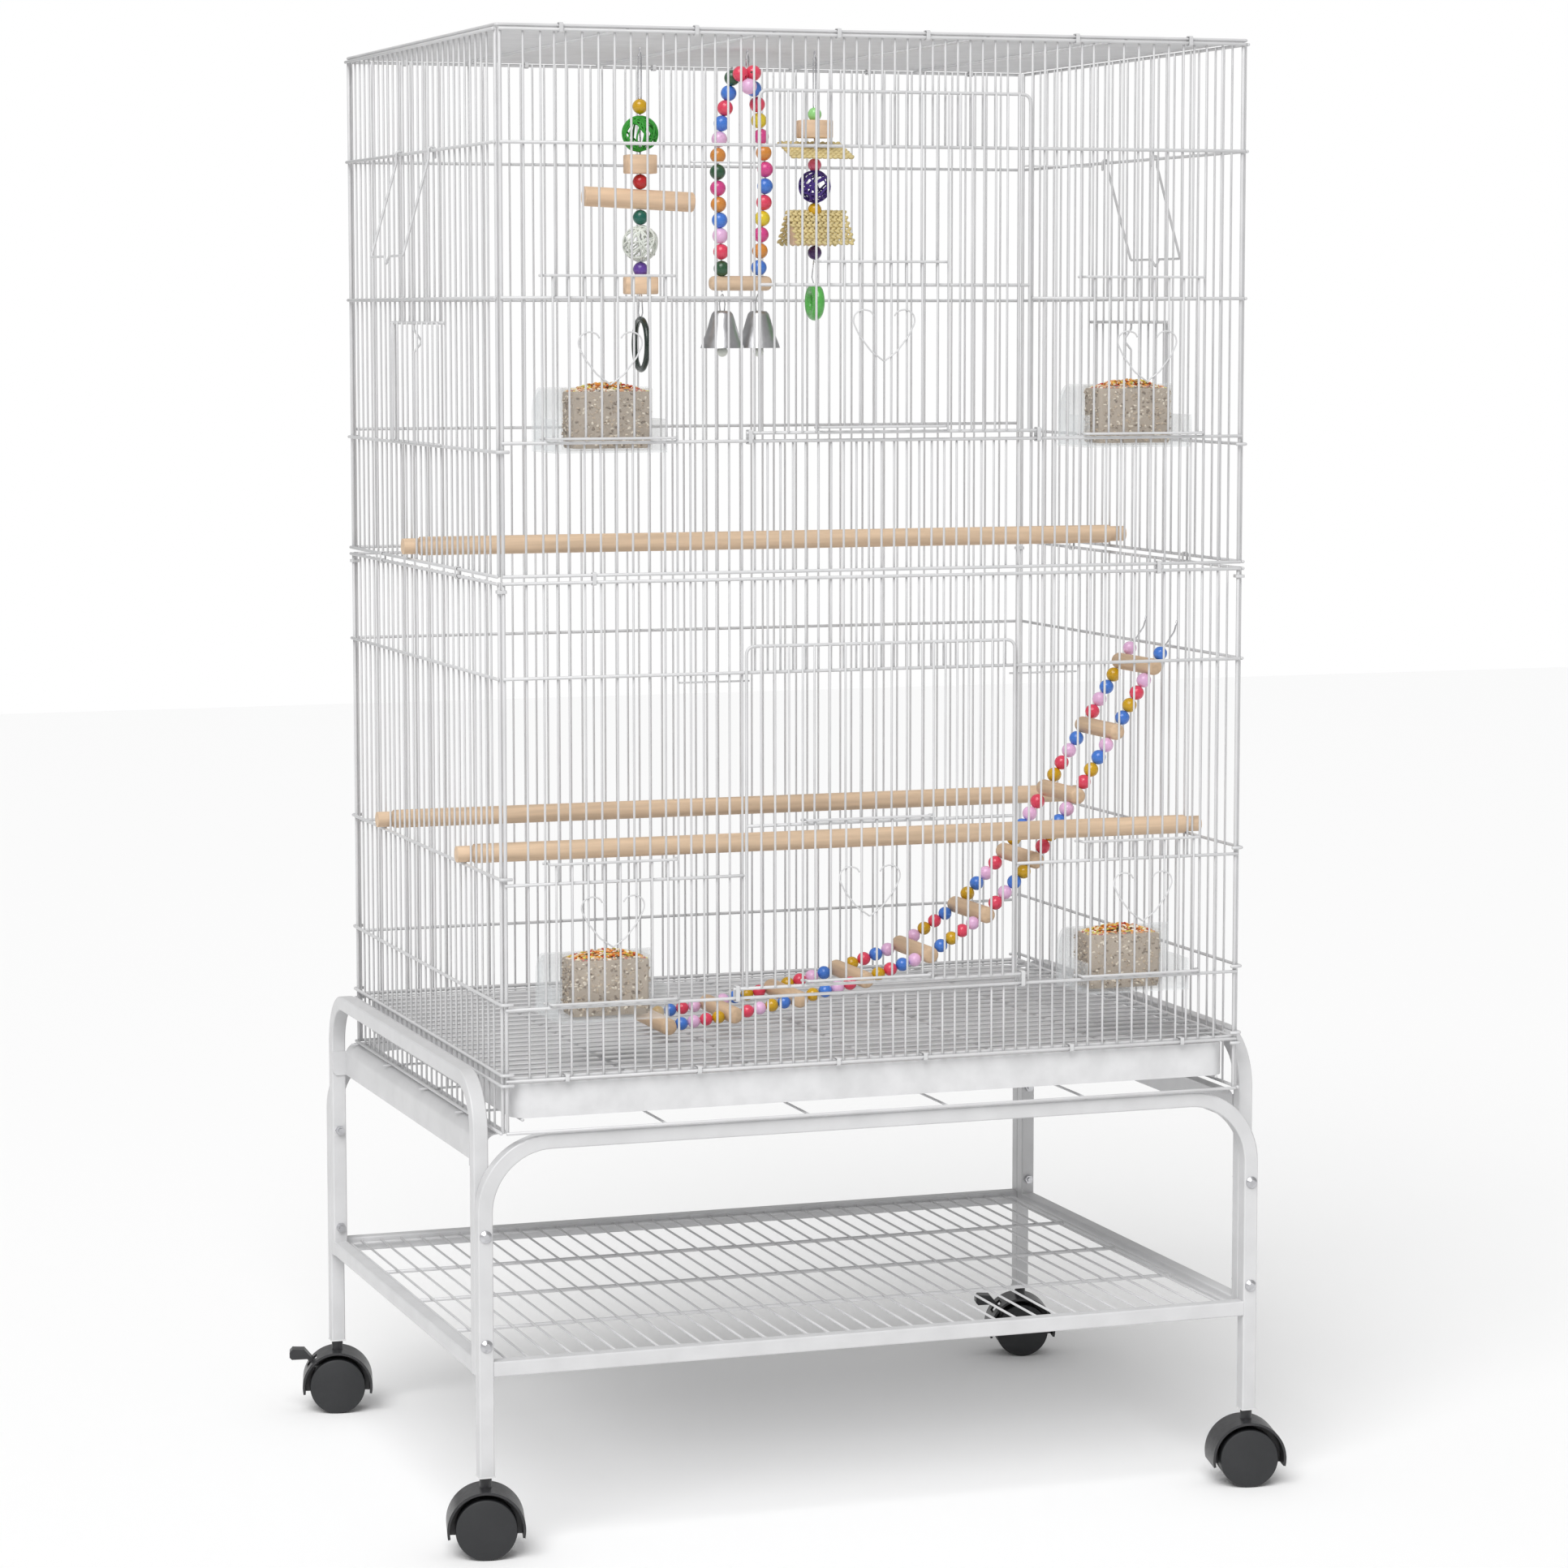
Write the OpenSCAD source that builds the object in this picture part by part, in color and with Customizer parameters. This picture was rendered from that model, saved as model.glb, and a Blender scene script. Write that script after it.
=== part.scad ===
// Two-storey bird cage on a rolling stand.
// Millimetres, +Z up. The front faces -Y, the floor is z = 0, x = 0 is the middle of the cage.

/* [Stand] */
// Distance from the middle to the centreline of a leg, left and right
leg_x = 403.7; // [300:0.1:500]
// Distance from the middle to the centreline of the front and back frames
leg_y = 304.9; // [200:0.1:400]
// Side of the square tube
tube = 15; // [10:0.5:25]
// Wall of the square tube
tube_wall = 1.2; // [0.8:0.1:2]
// Height of the underside of the leg tubes
leg_foot_z = 79.2; // [60:0.1:120]
// Centre height of the front and back top bars
frame_top_z = 403.5; // [300:0.5:500]
// Bend radius of the front and back frames, on the centreline
frame_bend = 67.5; // [30:0.5:100]
// Centre height of the side frames' top bars
side_top_z = 459.5; // [420:0.5:520]
// Bend radius of the side frames, on the centreline
side_bend = 50; // [25:0.5:80]
// Centre height of the lower rails that carry the shelf
rail_z = 184; // [120:0.5:260]
// Heights of the two bolts at each corner
bolt_z = [207.7, 314.6]; // [100:0.1:400]
// Pitch of the shelf wires
shelf_pitch = 22.2; // [15:0.1:40]
// Top of the ledge that the cage sits on
ledge_z = 409.5; // [380:0.5:440]

/* [Casters] */
// Wheel radius
wheel_r = 30; // [20:0.5:50]
// Width of one wheel
wheel_w = 17; // [10:0.5:25]
// Outer radius of the hood
hood_r = 38; // [32:0.5:60]
// Width of the hood along its axle
hood_w = 46; // [30:0.5:60]
// Turn of every caster, seen from above
caster_turn = -13.5; // [-180:0.5:180]

/* [Cage] */
// Distance from the middle to the plane of the side uprights
side_x = 385; // [300:0.1:450]
// Plane of the front uprights
front_y = -313; // [-400:0.1:-200]
// Plane of the back uprights
back_y = 269.4; // [200:0.1:400]
// Diameter of the uprights
upright_d = 2.2; // [1.5:0.1:4]
// Diameter of the cross wires
ring_d = 3.2; // [2:0.1:5]
// Diameter of the corner uprights
post_d = 3.6; // [2:0.1:6]
// Height of the top cross wires
top_z = 1459.5; // [1300:0.5:1600]
// Heights of the front's upper cross wires, from the top down
front_upper_z = [1459.5, 1354.7, 1209.6, 1073.1, 947.4]; // [900:0.1:1500]
// Heights of the front's lower cross wires, from the top down
front_lower_z = [940.6, 850.3, 653.1, 533.3, 464.3, 413.8]; // [400:0.1:1000]
// Heights of the sides' upper cross wires, from the top down
side_upper_z = [1459.5, 1354.7, 1209.6, 1065.0, 947.4]; // [900:0.1:1500]
// Heights of the sides' lower cross wires, from the top down
side_lower_z = [940.6, 850.3, 659.3, 538.7, 470.7, 460.4, 413.8]; // [400:0.1:1000]
// Pitch of the front uprights between the feeders
front_pitch = 13.03; // [10:0.01:20]
// Pitch of the uprights over the feeders and small doors
feeder_pitch = 16; // [12:0.1:20]
// Pitch of the side uprights
side_pitch = 19.9; // [12:0.1:30]
// Pitch of the floor grate's wires
grate_pitch = 26; // [15:0.1:40]

/* [Doors] */
// Half the width of a large door's frame
door_half = 139.5; // [80:0.5:200]
// Middle of the upper large door
door_upper_x = 12.3; // [-60:0.1:60]
// Middle of the lower large door
door_lower_x = -1.65; // [-60:0.05:60]
// Bottom wire, middle wire and top wire of the upper large door
door_upper_z = [1081, 1222.3, 1406.6]; // [1000:0.1:1450]
// Bottom wire, middle wire and top wire of the lower large door
door_lower_z = [543, 701.5, 875.8]; // [500:0.1:900]
// Small door's middle, from the middle of its large door
small_off = -14.7; // [-40:0.1:40]
// Middle of a feeder door, left and right
feeder_x = 277; // [200:0.5:330]
// Bottom and top wires of the upper feeder doors
feeder_upper_z = [1077, 1230.6]; // [1050:0.1:1300]
// Bottom and top wires of the lower feeder doors
feeder_lower_z = [537, 672.3]; // [500:0.1:720]
// Half the width of a side door
side_door_half = 92; // [50:0.5:130]
// Bottom and top of the side doors
side_door_z = [1066.8, 1186]; // [1040:0.1:1250]

/* [Fittings] */
// Diameter of the wooden perches
perch_d = 19; // [10:0.5:25]
// Width, depth and height of a seed cup
cup_size = [82, 44, 59]; // [20:1:120]
// Wall of the cups, guards and tray
plastic_wall = 1.8; // [1:0.1:4]
// Floor heights of the upper and lower seed cups
cup_z = [1065, 519]; // [400:0.5:1200]
// Height of the tray's floor
tray_z = 427; // [415:0.5:450]
// Height of the tray's rim
tray_rim_z = 460.5; // [440:0.5:462]
// Diameter of the coloured beads
bead_d = 16.4; // [8:0.1:25]
// Middle of the swing
swing_x = -46; // [-200:0.5:200]
// Half the distance between the swing's wires
swing_half = 24.7; // [15:0.1:40]
// Height of the swing's perch
swing_seat_z = 1226; // [1150:0.5:1350]
// Middle of the left hanging toy
toy_left_x = -153; // [-300:0.5:0]
// Middle of the right hanging toy
toy_right_x = 35; // [0:0.5:300]
// Middle of the bead ladder, front to back
ladder_y = -127; // [-250:0.5:200]
// Half the distance between the ladder's cords
ladder_half = 39; // [20:0.5:60]
// Diameter of the ladder's rungs
rung_d = 17; // [8:0.5:25]

/* [Hidden] */
white = [0.93, 0.93, 0.92];
black = [0.13, 0.13, 0.14];
steel = [0.75, 0.75, 0.76];
wood = [0.86, 0.72, 0.52];
clear = [0.85, 0.9, 0.92, 0.4];
mid_y = (front_y + back_y) / 2;
half_y = (back_y - front_y) / 2;
weld = 0.32;
ring_out = upright_d / 2 + ring_d / 2 + 0.02;
front_ring_y = front_y - ring_out;
back_ring_y = back_y + ring_out;
side_ring_x = side_x + ring_out;
door_y = front_ring_y - ring_d - 0.3;
door_wire_y = door_y - ring_out + weld;
small_y = door_wire_y - upright_d - 0.4;
feeder_y = front_ring_y - ring_d / 2 - upright_d / 2 - 0.4;
post_x = side_x - 3.4;
side_post_y = half_y - 3.2;
mid_verticals = [for (i = [0 : 32]) (i - 16) * front_pitch];
feeder_verticals = [for (i = [0 : 6]) 221 + feeder_pitch * i];
end_verticals = [328.5, 342, 359];
side_verticals = [for (i = [-13 : 13]) mid_y + side_pitch * i];
clip_x = [-322.75, -188.95, -45.6, 45.6, 201.98, 322.75];
hang_z = 1463.4;
side_gap = side_pitch * 4.5;
cord_top = [[381.5, 879], [379, 868]];
rung_points = [[353.5, 832], [312, 766], [268.7, 701], [223.2, 636], [169, 582], [107, 543.5], [37, 521.5],
               [-34, 505], [-104, 492.5], [-174, 484.5]];

// ---------- helpers ----------

// Straight wire from a to b with n flats, d across the flats
module wire(a, b, d, n = 8, turn = 22.5) {
  v = b - a;
  h = norm(v);
  translate(a)
    rotate([0, acos(v[2] / h), atan2(v[1], v[0])])
      rotate([0, 0, turn])
        cylinder(h = h, d = d / cos(180 / n), $fn = n);
}

// Point beyond b on the line from a, by e
function past(a, b, e) = b + (b - a) / norm(b - a) * e;

// Bent wire through the points, its corners lapped and every second run a hair thinner
module bent(points, d, n = 8, turn = 22.5) {
  last = len(points) - 2;
  for (i = [0 : last]) {
    p = i == 0 ? points[0] : past(points[i + 1], points[i], d * 0.42);
    q = i == last ? points[i + 1] : past(points[i], points[i + 1], d * 0.42);
    wire(p, q, d - (i % 2) * 0.04, n, turn);
  }
}

// Round bar from a to b
module bar(a, b, d) {
  v = b - a;
  h = norm(v);
  translate(a)
    rotate([0, acos(v[2] / h), atan2(v[1], v[0])])
      cylinder(h = h, d = d, $fn = 48);
}

// Rectangle w by d about the middle with corners of radius r
module round_rect(w, d, r) {
  square([w - 2 * r, d], center = true);
  square([w, d - 2 * r], center = true);
  for (x = [-1, 1], y = [-1, 1])
    translate([x * (w / 2 - r), y * (d / 2 - r)]) circle(r = r, $fn = 32);
}

// Square ring of strip around a pair of wires, w wide along X
module band(x, y0, y1, z0, z1, w = 4, t = 1) {
  difference() {
    translate([x - w / 2, y0 - t, z0 - t]) cube([w, y1 - y0 + 2 * t, z1 - z0 + 2 * t]);
    translate([x - w, y0, z0]) cube([2 * w, y1 - y0, z1 - z0]);
  }
}

// The same along Y
module band_y(y, x0, x1, z0, z1, w = 4, t = 1) {
  difference() {
    translate([x0 - t, y - w / 2, z0 - t]) cube([x1 - x0 + 2 * t, w, z1 - z0 + 2 * t]);
    translate([x0, y - w, z0]) cube([x1 - x0, 2 * w, z1 - z0]);
  }
}

// ---------- stand ----------

// Tube section, or its bore when grow is the wall
module tube_section(grow = 0) {
  s = tube - 2 * grow;
  round_rect(s, s, max(0.4, 1.6 - grow));
}

// Upside-down U in the XZ plane: half width w, feet at z0, top centre at z1, bend radius r
module hoop(w, z0, z1, r, grow = 0, extra = 0) {
  for (s = [-1, 1]) {
    translate([s * w, 0, z0 - extra])
      linear_extrude(height = z1 - r - z0 + extra) tube_section(grow);
    translate([s * (w - r), 0, z1 - r])
      rotate([90, 0, 0])
        rotate([0, 0, s > 0 ? 0 : 90])
          rotate_extrude(angle = 90, $fn = 96)
            translate([r, 0]) tube_section(grow);
  }
  translate([-(w - r), 0, z1])
    rotate([0, 90, 0])
      linear_extrude(height = 2 * (w - r)) tube_section(grow);
}

module rail(w, grow = 0) {
  rotate([0, 90, 0])
    translate([0, 0, -w])
      linear_extrude(height = 2 * w) tube_section(grow);
}

module frame_body(y) {
  color(white)
    translate([0, y, 0])
      difference() {
        union() {
          hoop(leg_x, leg_foot_z, frame_top_z, frame_bend);
          translate([0, 0, rail_z]) rail(leg_x - tube / 2 + 0.3);
        }
        hoop(leg_x, leg_foot_z, frame_top_z, frame_bend, tube_wall, 1);
        for (x = [-leg_x, leg_x], z = bolt_z)
          translate([x, 0, z])
            rotate([90, 0, 0]) cylinder(h = tube + 2, d = 5.4, center = true, $fn = 32);
      }
}

module front_frame() frame_body(-leg_y);
module back_frame() frame_body(leg_y);

module side_frame(x) {
  color(white)
    translate([x, 0, 0])
      difference() {
        rotate([0, 0, 90])
          difference() {
            union() {
              hoop(leg_y - tube, rail_z - tube / 2, side_top_z, side_bend);
              translate([0, 0, rail_z]) rail(leg_y - 1.5 * tube + 0.3);
            }
            hoop(leg_y - tube, rail_z + tube / 2, side_top_z, side_bend, tube_wall, 0);
          }
        for (y = [-1, 1], z = bolt_z)
          translate([0, y * (leg_y - tube), z])
            rotate([90, 0, 0]) cylinder(h = tube + 2, d = 5.4, center = true, $fn = 32);
      }
}

module side_frame_left() side_frame(-leg_x);
module side_frame_right() side_frame(leg_x);

// Folded ledge between the legs of a side frame, for the right side
module ledge() {
  inner = leg_x - tube / 2;
  end = leg_y - 1.5 * tube - 0.05;
  fold = 13;
  t = 1.5;
  difference() {
    union() {
      translate([inner - t, -end, 375]) cube([t, 2 * end, ledge_z - fold - 375]);
      translate([inner - fold, end, ledge_z - fold])
        rotate([90, 0, 0])
          rotate_extrude(angle = 90, $fn = 64)
            translate([fold - t, 0]) square([t, 2 * end]);
      translate([372, -end, ledge_z - t]) cube([inner - fold - 372, 2 * end, t]);
      for (s = [-1, 1])
        translate([inner - t, s > 0 ? end - t : -end, 375]) cube([tube + t, t, 26]);
    }
    for (s = [-1, 1])
      translate([inner + tube, s * end, 375])
        rotate([0, 45, 0]) cube([6, 10, 6], center = true);
  }
}

module ledge_left() color(white) mirror([1, 0, 0]) ledge();
module ledge_right() color(white) ledge();

module shelf_mesh() {
  inner = leg_y - tube / 2 - 2;
  color(white) {
    for (y = [-143, 0.8, 144])
      wire([-392, y, rail_z + 0.7], [392, y, rail_z + 0.7], 4);
    for (i = [-17 : 17])
      wire([i * shelf_pitch, -inner, rail_z + 4], [i * shelf_pitch, inner, rail_z + 4], 2.5, 6, 30);
    for (s = [-1, 1]) {
      wire([-390.8, s * (inner - 2), rail_z + 1.6], [390.8, s * (inner - 2), rail_z + 1.6], 3);
      wire([s * 390, -inner + 1, rail_z + 1.6], [s * 390, inner - 1, rail_z + 1.6], 2.9);
    }
  }
}

module frame_bolts() {
  color(steel)
    for (x = [-leg_x, leg_x], s = [-1, 1], z = bolt_z)
      translate([x, s * (leg_y + tube / 2), z])
        rotate([s > 0 ? -90 : 90, 0, 0]) {
          translate([0, 0, 0.02]) cylinder(h = 1.2, d = 12, $fn = 48);
          translate([0, 0, 1.2]) cylinder(h = 2.2, d1 = 12, d2 = 6, $fn = 48);
          translate([0, 0, -2 * tube - 7]) cylinder(h = 2 * tube + 7.5, d = 5, $fn = 32);
        }
}

module frame_nuts() {
  color(steel)
    for (x = [-leg_x, leg_x], s = [-1, 1], z = bolt_z)
      translate([x, s * (leg_y - 1.5 * tube), z])
        rotate([s > 0 ? 90 : -90, 0, 0])
          translate([0, 0, 0.02])
            difference() {
              cylinder(h = 5, d = 10, $fn = 6);
              translate([0, 0, -1]) cylinder(h = 7, d = 5.1, $fn = 32);
            }
}

module leg_plugs() {
  s = tube - 2 * tube_wall - 0.3;
  color(white)
    for (x = [-leg_x, leg_x], y = [-leg_y, leg_y])
      translate([x, y, 0])
        difference() {
          union() {
            translate([-tube / 2 - 0.4, -tube / 2 - 0.4, leg_foot_z - 1.5])
              cube([tube + 0.8, tube + 0.8, 1.45]);
            translate([-s / 2, -s / 2, leg_foot_z - 0.5]) cube([s, s, 38]);
          }
          translate([0, 0, leg_foot_z - 10]) cylinder(h = 46, d = 8.1, $fn = 48);
        }
}

// ---------- casters ----------

module at_caster(i) {
  translate([i % 2 == 0 ? -leg_x : leg_x, i < 2 ? -leg_y : leg_y, 0])
    rotate([0, 0, caster_turn]) children();
}

// Hood, stem and middle web in one moulding; the axle lies along Y
module caster_hood(i, slot = false) {
  color(black)
    at_caster(i) {
      difference() {
        union() {
          translate([0, 0, wheel_r])
            rotate([90, 0, 0])
              rotate([0, 0, -12])
                rotate_extrude(angle = 204, $fn = 96)
                  translate([hood_r - 2.5, -hood_w / 2]) square([2.5, hood_w]);
          translate([0, 3.5, wheel_r])
            rotate([90, 0, 0])
              difference() {
                cylinder(h = 7, r = hood_r - 1, $fn = 96);
                translate([-50, -50, -1]) cube([100, 42, 9]);
              }
          cylinder(h = 77.4, d = 12, $fn = 48);
          cylinder(h = 112, d = 8, $fn = 48);
        }
        translate([0, 0, wheel_r])
          rotate([90, 0, 0]) cylinder(h = 20, d = 6.1, center = true, $fn = 48);
        translate([-20, -20, -5]) cube([40, 40, 5 + wheel_r - 8]);
        for (s = [-1, 1])
          translate([0, s * (3.5 + wheel_w / 2 + 0.7), wheel_r])
            rotate([90, 0, 0]) cylinder(h = wheel_w + 1.4, r = wheel_r + 2, center = true, $fn = 96);
        if (slot) translate([-hood_r - 5, -8.8, wheel_r + 18.5]) cube([20.5, 17.6, 17]);
      }
    }
}

module caster_hood_fl() caster_hood(0);
module caster_hood_fr() caster_hood(1);
module caster_hood_bl() caster_hood(2, true);
module caster_hood_br() caster_hood(3, true);

module caster_wheels(i) {
  color(black)
    at_caster(i)
      translate([0, 0, wheel_r])
        rotate([90, 0, 0]) {
          for (s = [-1, 1])
            translate([0, 0, s * (3.5 + wheel_w / 2 + 0.6)])
              cylinder(h = wheel_w, r = wheel_r, center = true, $fn = 96);
          cylinder(h = 20, d = 6, center = true, $fn = 48);
        }
}

module caster_wheels_fl() caster_wheels(0);
module caster_wheels_fr() caster_wheels(1);
module caster_wheels_bl() caster_wheels(2);
module caster_wheels_br() caster_wheels(3);

// Foot lever in the hood's slot, pivoting about an axis along the axle
module brake_lever(i) {
  color(black)
    at_caster(i)
      translate([0, 8, wheel_r])
        rotate([90, 0, 0])
          linear_extrude(height = 16)
            polygon([[-24.5, 20.5], [-30, 26], [-33, 28.5], [-49.5, 28], [-52, 30.5], [-52, 36], [-49, 39.5],
                     [-36, 39], [-32.5, 35], [-27, 28.5], [-23.2, 24.5]]);
}

module brake_lever_bl() brake_lever(2);
module brake_lever_br() brake_lever(3);

// ---------- wire panels ----------

// Upright on a front or back plane
module upright(x, y, z0, z1, d = upright_d) wire([x, y, z0], [x, y, z1], d, 6, 0);

module cross(x0, x1, y, z, d = ring_d) wire([x0, y, z], [x1, y, z], d);

// One front panel: rings z, the large door's opening from z[a] to z[b], its feeders' from z[c] to z[b]
module front_panel(z, a, c, b, foot, door_x, catch_z) {
  y = front_y;
  ry = front_ring_y;
  edge_l = door_x - 135;
  edge_r = door_x + 135;
  span_l = max([for (x = mid_verticals) if (x < edge_l) x]);
  span_r = min([for (x = mid_verticals) if (x > edge_r) x]);
  z1 = z[0] + 1.5;
  for (i = [0 : len(z) - 1]) {
    wy = i == 0 || i == 4 ? ry + weld : ry;
    if (i == c) {
      cross(-post_x - 1.8, span_l + 1.1, wy, z[i]);
      cross(span_r - 1.1, post_x + 1.8, wy, z[i]);
    } else cross(-post_x - 1.8, post_x + 1.8, wy, z[i]);
  }
  for (x = mid_verticals) {
    if (x > span_l && x < span_r) {
      upright(x, y, z[a] - 1, z1);
      upright(x, y, foot, z[b] + 1);
    } else upright(x, y, foot, z1);
  }
  for (s = [-1, 1]) {
    for (x = concat(feeder_verticals, [end_verticals[0]])) {
      upright(s * x, y, z[c] - 1, z1);
      upright(s * x, y, foot, z[b] + 1);
    }
    for (i = [1, 2]) upright(s * end_verticals[i], y, foot, z1);
    upright(s * post_x, y, z[len(z) - 1], z1, post_d);
  }
  cross(span_l - 64, span_l + 8, y + 1.7, catch_z, 1.8);
  cross(span_r - 8, span_r + 64, y + 1.7, catch_z, 1.8);
}

module front_panel_upper()
  color(white) front_panel(front_upper_z, 1, 2, 3, 946, door_upper_x, 1338);

module front_panel_lower()
  color(white) front_panel(front_lower_z, 1, 2, 3, 463, door_lower_x, 842);

module back_panel(z) {
  foot = z[len(z) - 1] - 0.6;
  z1 = z[0] + 1.5;
  for (i = [0 : len(z) - 1])
    cross(-post_x - 1.8, post_x + 1.8, back_ring_y - (i == 0 || i == len(z) - 1 ? weld : 0), z[i]);
  for (x = mid_verticals) upright(x, back_y, foot, z1);
  for (s = [-1, 1]) {
    for (x = concat(feeder_verticals, end_verticals)) upright(s * x, back_y, foot, z1);
    upright(s * post_x, back_y, foot, z1, post_d);
  }
}

module back_panel_upper() color(white) back_panel(front_upper_z);
module back_panel_lower() color(white) back_panel(front_lower_z);

// Right-hand side panel; hooked says which cross wires end in a hook round the corner uprights
module side_panel(z, hooked, opening = false) {
  foot = z[len(z) - 1] - 0.6;
  z1 = z[0] + 1.5;
  x = side_x;
  for (i = [0 : len(z) - 1]) {
    wx = side_ring_x - (i == 0 || i == len(z) - 1 ? weld : 0);
    wire([wx, mid_y - half_y, z[i]], [wx, mid_y + half_y, z[i]], ring_d);
    if (hooked[i] == 1) {
      for (s = [-1, 1]) {
        yo = mid_y + s * half_y;
        yh = mid_y + s * (half_y + 4.6);
        bent([[side_ring_x, yo - s * 2, z[i]], [side_ring_x, yh, z[i]], [side_ring_x - 12, yh, z[i]]], 3.12);
      }
    }
  }
  for (y = side_verticals) {
    if (opening && abs(y - mid_y) < side_gap) {
      wire([x, y, side_door_z[1] - 0.6], [x, y, z1], upright_d, 6, 30);
      wire([x, y, foot], [x, y, z[3] + 0.6], upright_d, 6, 30);
    } else wire([x, y, foot], [x, y, z1], upright_d, 6, 30);
  }
  for (s = [-1, 1])
    wire([x, mid_y + s * side_post_y, foot], [x, mid_y + s * side_post_y, z1], post_d);
  if (opening) {
    hx = side_ring_x - weld;
    wire([hx, mid_y - side_gap - 12, side_door_z[1]], [hx, mid_y + side_gap + 12, side_door_z[1]], ring_d);
  }
}

module side_upper() side_panel(side_upper_z, [0, 0, 0, 1, 0], true);
module side_lower() side_panel(side_lower_z, [0, 0, 1, 1, 1, 1, 0]);
module side_panel_left_upper() color(white) mirror([1, 0, 0]) side_upper();
module side_panel_left_lower() color(white) mirror([1, 0, 0]) side_lower();
module side_panel_right_upper() color(white) side_upper();
module side_panel_right_lower() color(white) side_lower();

module top_panel() {
  n = 44;
  step = 2 * half_y / n;
  color(white) {
    for (y = [front_y, back_y]) wire([-side_x - 1.4, y, hang_z], [side_x + 1.4, y, hang_z], ring_d);
    for (s = [-1, 1]) wire([s * side_x, front_y - 1, hang_z], [s * side_x, back_y + 1, hang_z], ring_d - 0.1);
    for (i = [1 : n - 1])
      wire([-side_x, front_y + i * step, hang_z], [side_x, front_y + i * step, hang_z], upright_d, 6, 30);
    for (x = [-256, -110, 110, 256])
      wire([x, front_y + 0.5, hang_z - 2.75], [x, back_y - 0.5, hang_z - 2.75], ring_d);
  }
}

module floor_grate() {
  y0 = front_y + upright_d / 2 + 0.8 + ring_d / 2;
  y1 = back_y - upright_d / 2 - 0.8 - ring_d / 2;
  x1 = side_x - upright_d / 2 - 0.9 - ring_d / 2;
  n = floor((y1 - y0) / grate_pitch);
  step = (y1 - y0) / n;
  z = 466;
  color(white) {
    for (y = [y0, y1]) wire([-x1 - 1.2, y, z], [x1 + 1.2, y, z], ring_d);
    for (s = [-1, 1]) wire([s * x1, y0 - 0.8, z], [s * x1, y1 + 0.8, z], ring_d - 0.1);
    for (i = [1 : n - 1]) wire([-x1, y0 + i * step, z], [x1, y0 + i * step, z], 2.5, 6, 30);
    for (x = [-254, -127, 0, 127, 254])
      wire([x, y0 - 0.5, z - 2.9], [x, y1 + 0.5, z - 2.9], ring_d);
  }
}

module tray_rack() {
  z = ledge_z + 1.3;
  color(white) {
    for (y = [-170, -30, 120, 262]) {
      wire([-395, y, z], [395, y, z], 2.5);
      for (s = [-1, 1]) wire([s * 365, y, z], [s * 365, y, tray_z - 1.7], 2.5);
    }
    for (x = [-220, -73, 73, 220]) wire([x, front_y + 1, z + 2.2], [x, back_y - 3, z + 2.2], 2.5);
    for (s = [-1, 1])
      wire([s * 365, front_y + 4, tray_z - 1.7], [s * 365, back_y - 4, tray_z - 1.7], 3.2);
  }
}

module panel_clips() {
  ry = front_ring_y;
  color(steel) {
    for (x = clip_x) {
      band(x, ry - 2, front_y + 2, top_z - 2, hang_z + 2);
      band(x, back_y - 2, back_ring_y + 2, top_z - 2, hang_z + 2);
      band(x, ry - 2, front_y + 5.4, 462.3, 468);
    }
    for (x = [-293, 293]) {
      band(x, ry - 2, ry + 2, 938.6, 949.4);
      band(x, back_ring_y - 2, back_ring_y + 2, 938.6, 949.4);
    }
    for (s = [-1, 1], y = [mid_y - side_pitch * 7.5, mid_y + side_pitch * 7.5])
      band_y(y, s * side_ring_x - 2, s * side_ring_x + 2, 938.6, 949.4);
    for (d = [[door_upper_x, 1071.1, 1083.2], [door_lower_x, 531.3, 545.2]], s = [-1, 1])
      band(d[0] + s * (door_half + 10), door_y - 2, ry + 2, d[1], d[2]);
    for (s = [-1, 1], t = [-1, 1])
      translate([s * (side_x - 1.7), mid_y + t * (half_y - 1.6), 933])
        difference() {
          cube([9.6, 9.2, 3], center = true);
          cube([7.6, 7.2, 5], center = true);
        }
  }
}

module perches() {
  color(wood)
    for (p = [[1.5, 961], [7.5, 670], [-8.5, 670]]) {
      y = mid_y + side_pitch * p[0];
      bar([-379, y, p[1]], [379, y, p[1]], perch_d);
      bar([-397, y, p[1]], [397, y, p[1]], 16);
    }
}

// ---------- doors ----------

// Large door, hinged on its bottom wire: middle x, heights z of bottom, middle and top wires
module large_door(x, z) {
  h = door_half;
  top = z[2];
  sx = x + small_off;
  bent([[x - h, door_y, z[0]], [x - h, door_y, top - 9], [x - h + 2.6, door_y, top - 2.6],
        [x - h + 9, door_y, top], [x + h - 9, door_y, top], [x + h - 2.6, door_y, top - 2.6],
        [x + h, door_y, top - 9], [x + h, door_y, z[0]]], ring_d);
  cross(x - h - 14, x + h + 14, door_y, z[0]);
  cross(x - h, x + h, door_y, z[1]);
  for (i = [1 : 4]) upright(x - h + i * (h + small_off - 68) / 4, door_wire_y, z[0], top);
  for (i = [0 : 6]) upright(sx + 68 + i * (h - small_off - 68) / 7, door_wire_y, z[0], top);
  for (i = [0 : 7]) upright(sx + (i - 3.5) * feeder_pitch, door_wire_y, z[1], top);
}

module door_upper() color(white) large_door(door_upper_x, door_upper_z);
module door_lower() color(white) large_door(door_lower_x, door_lower_z);

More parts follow.
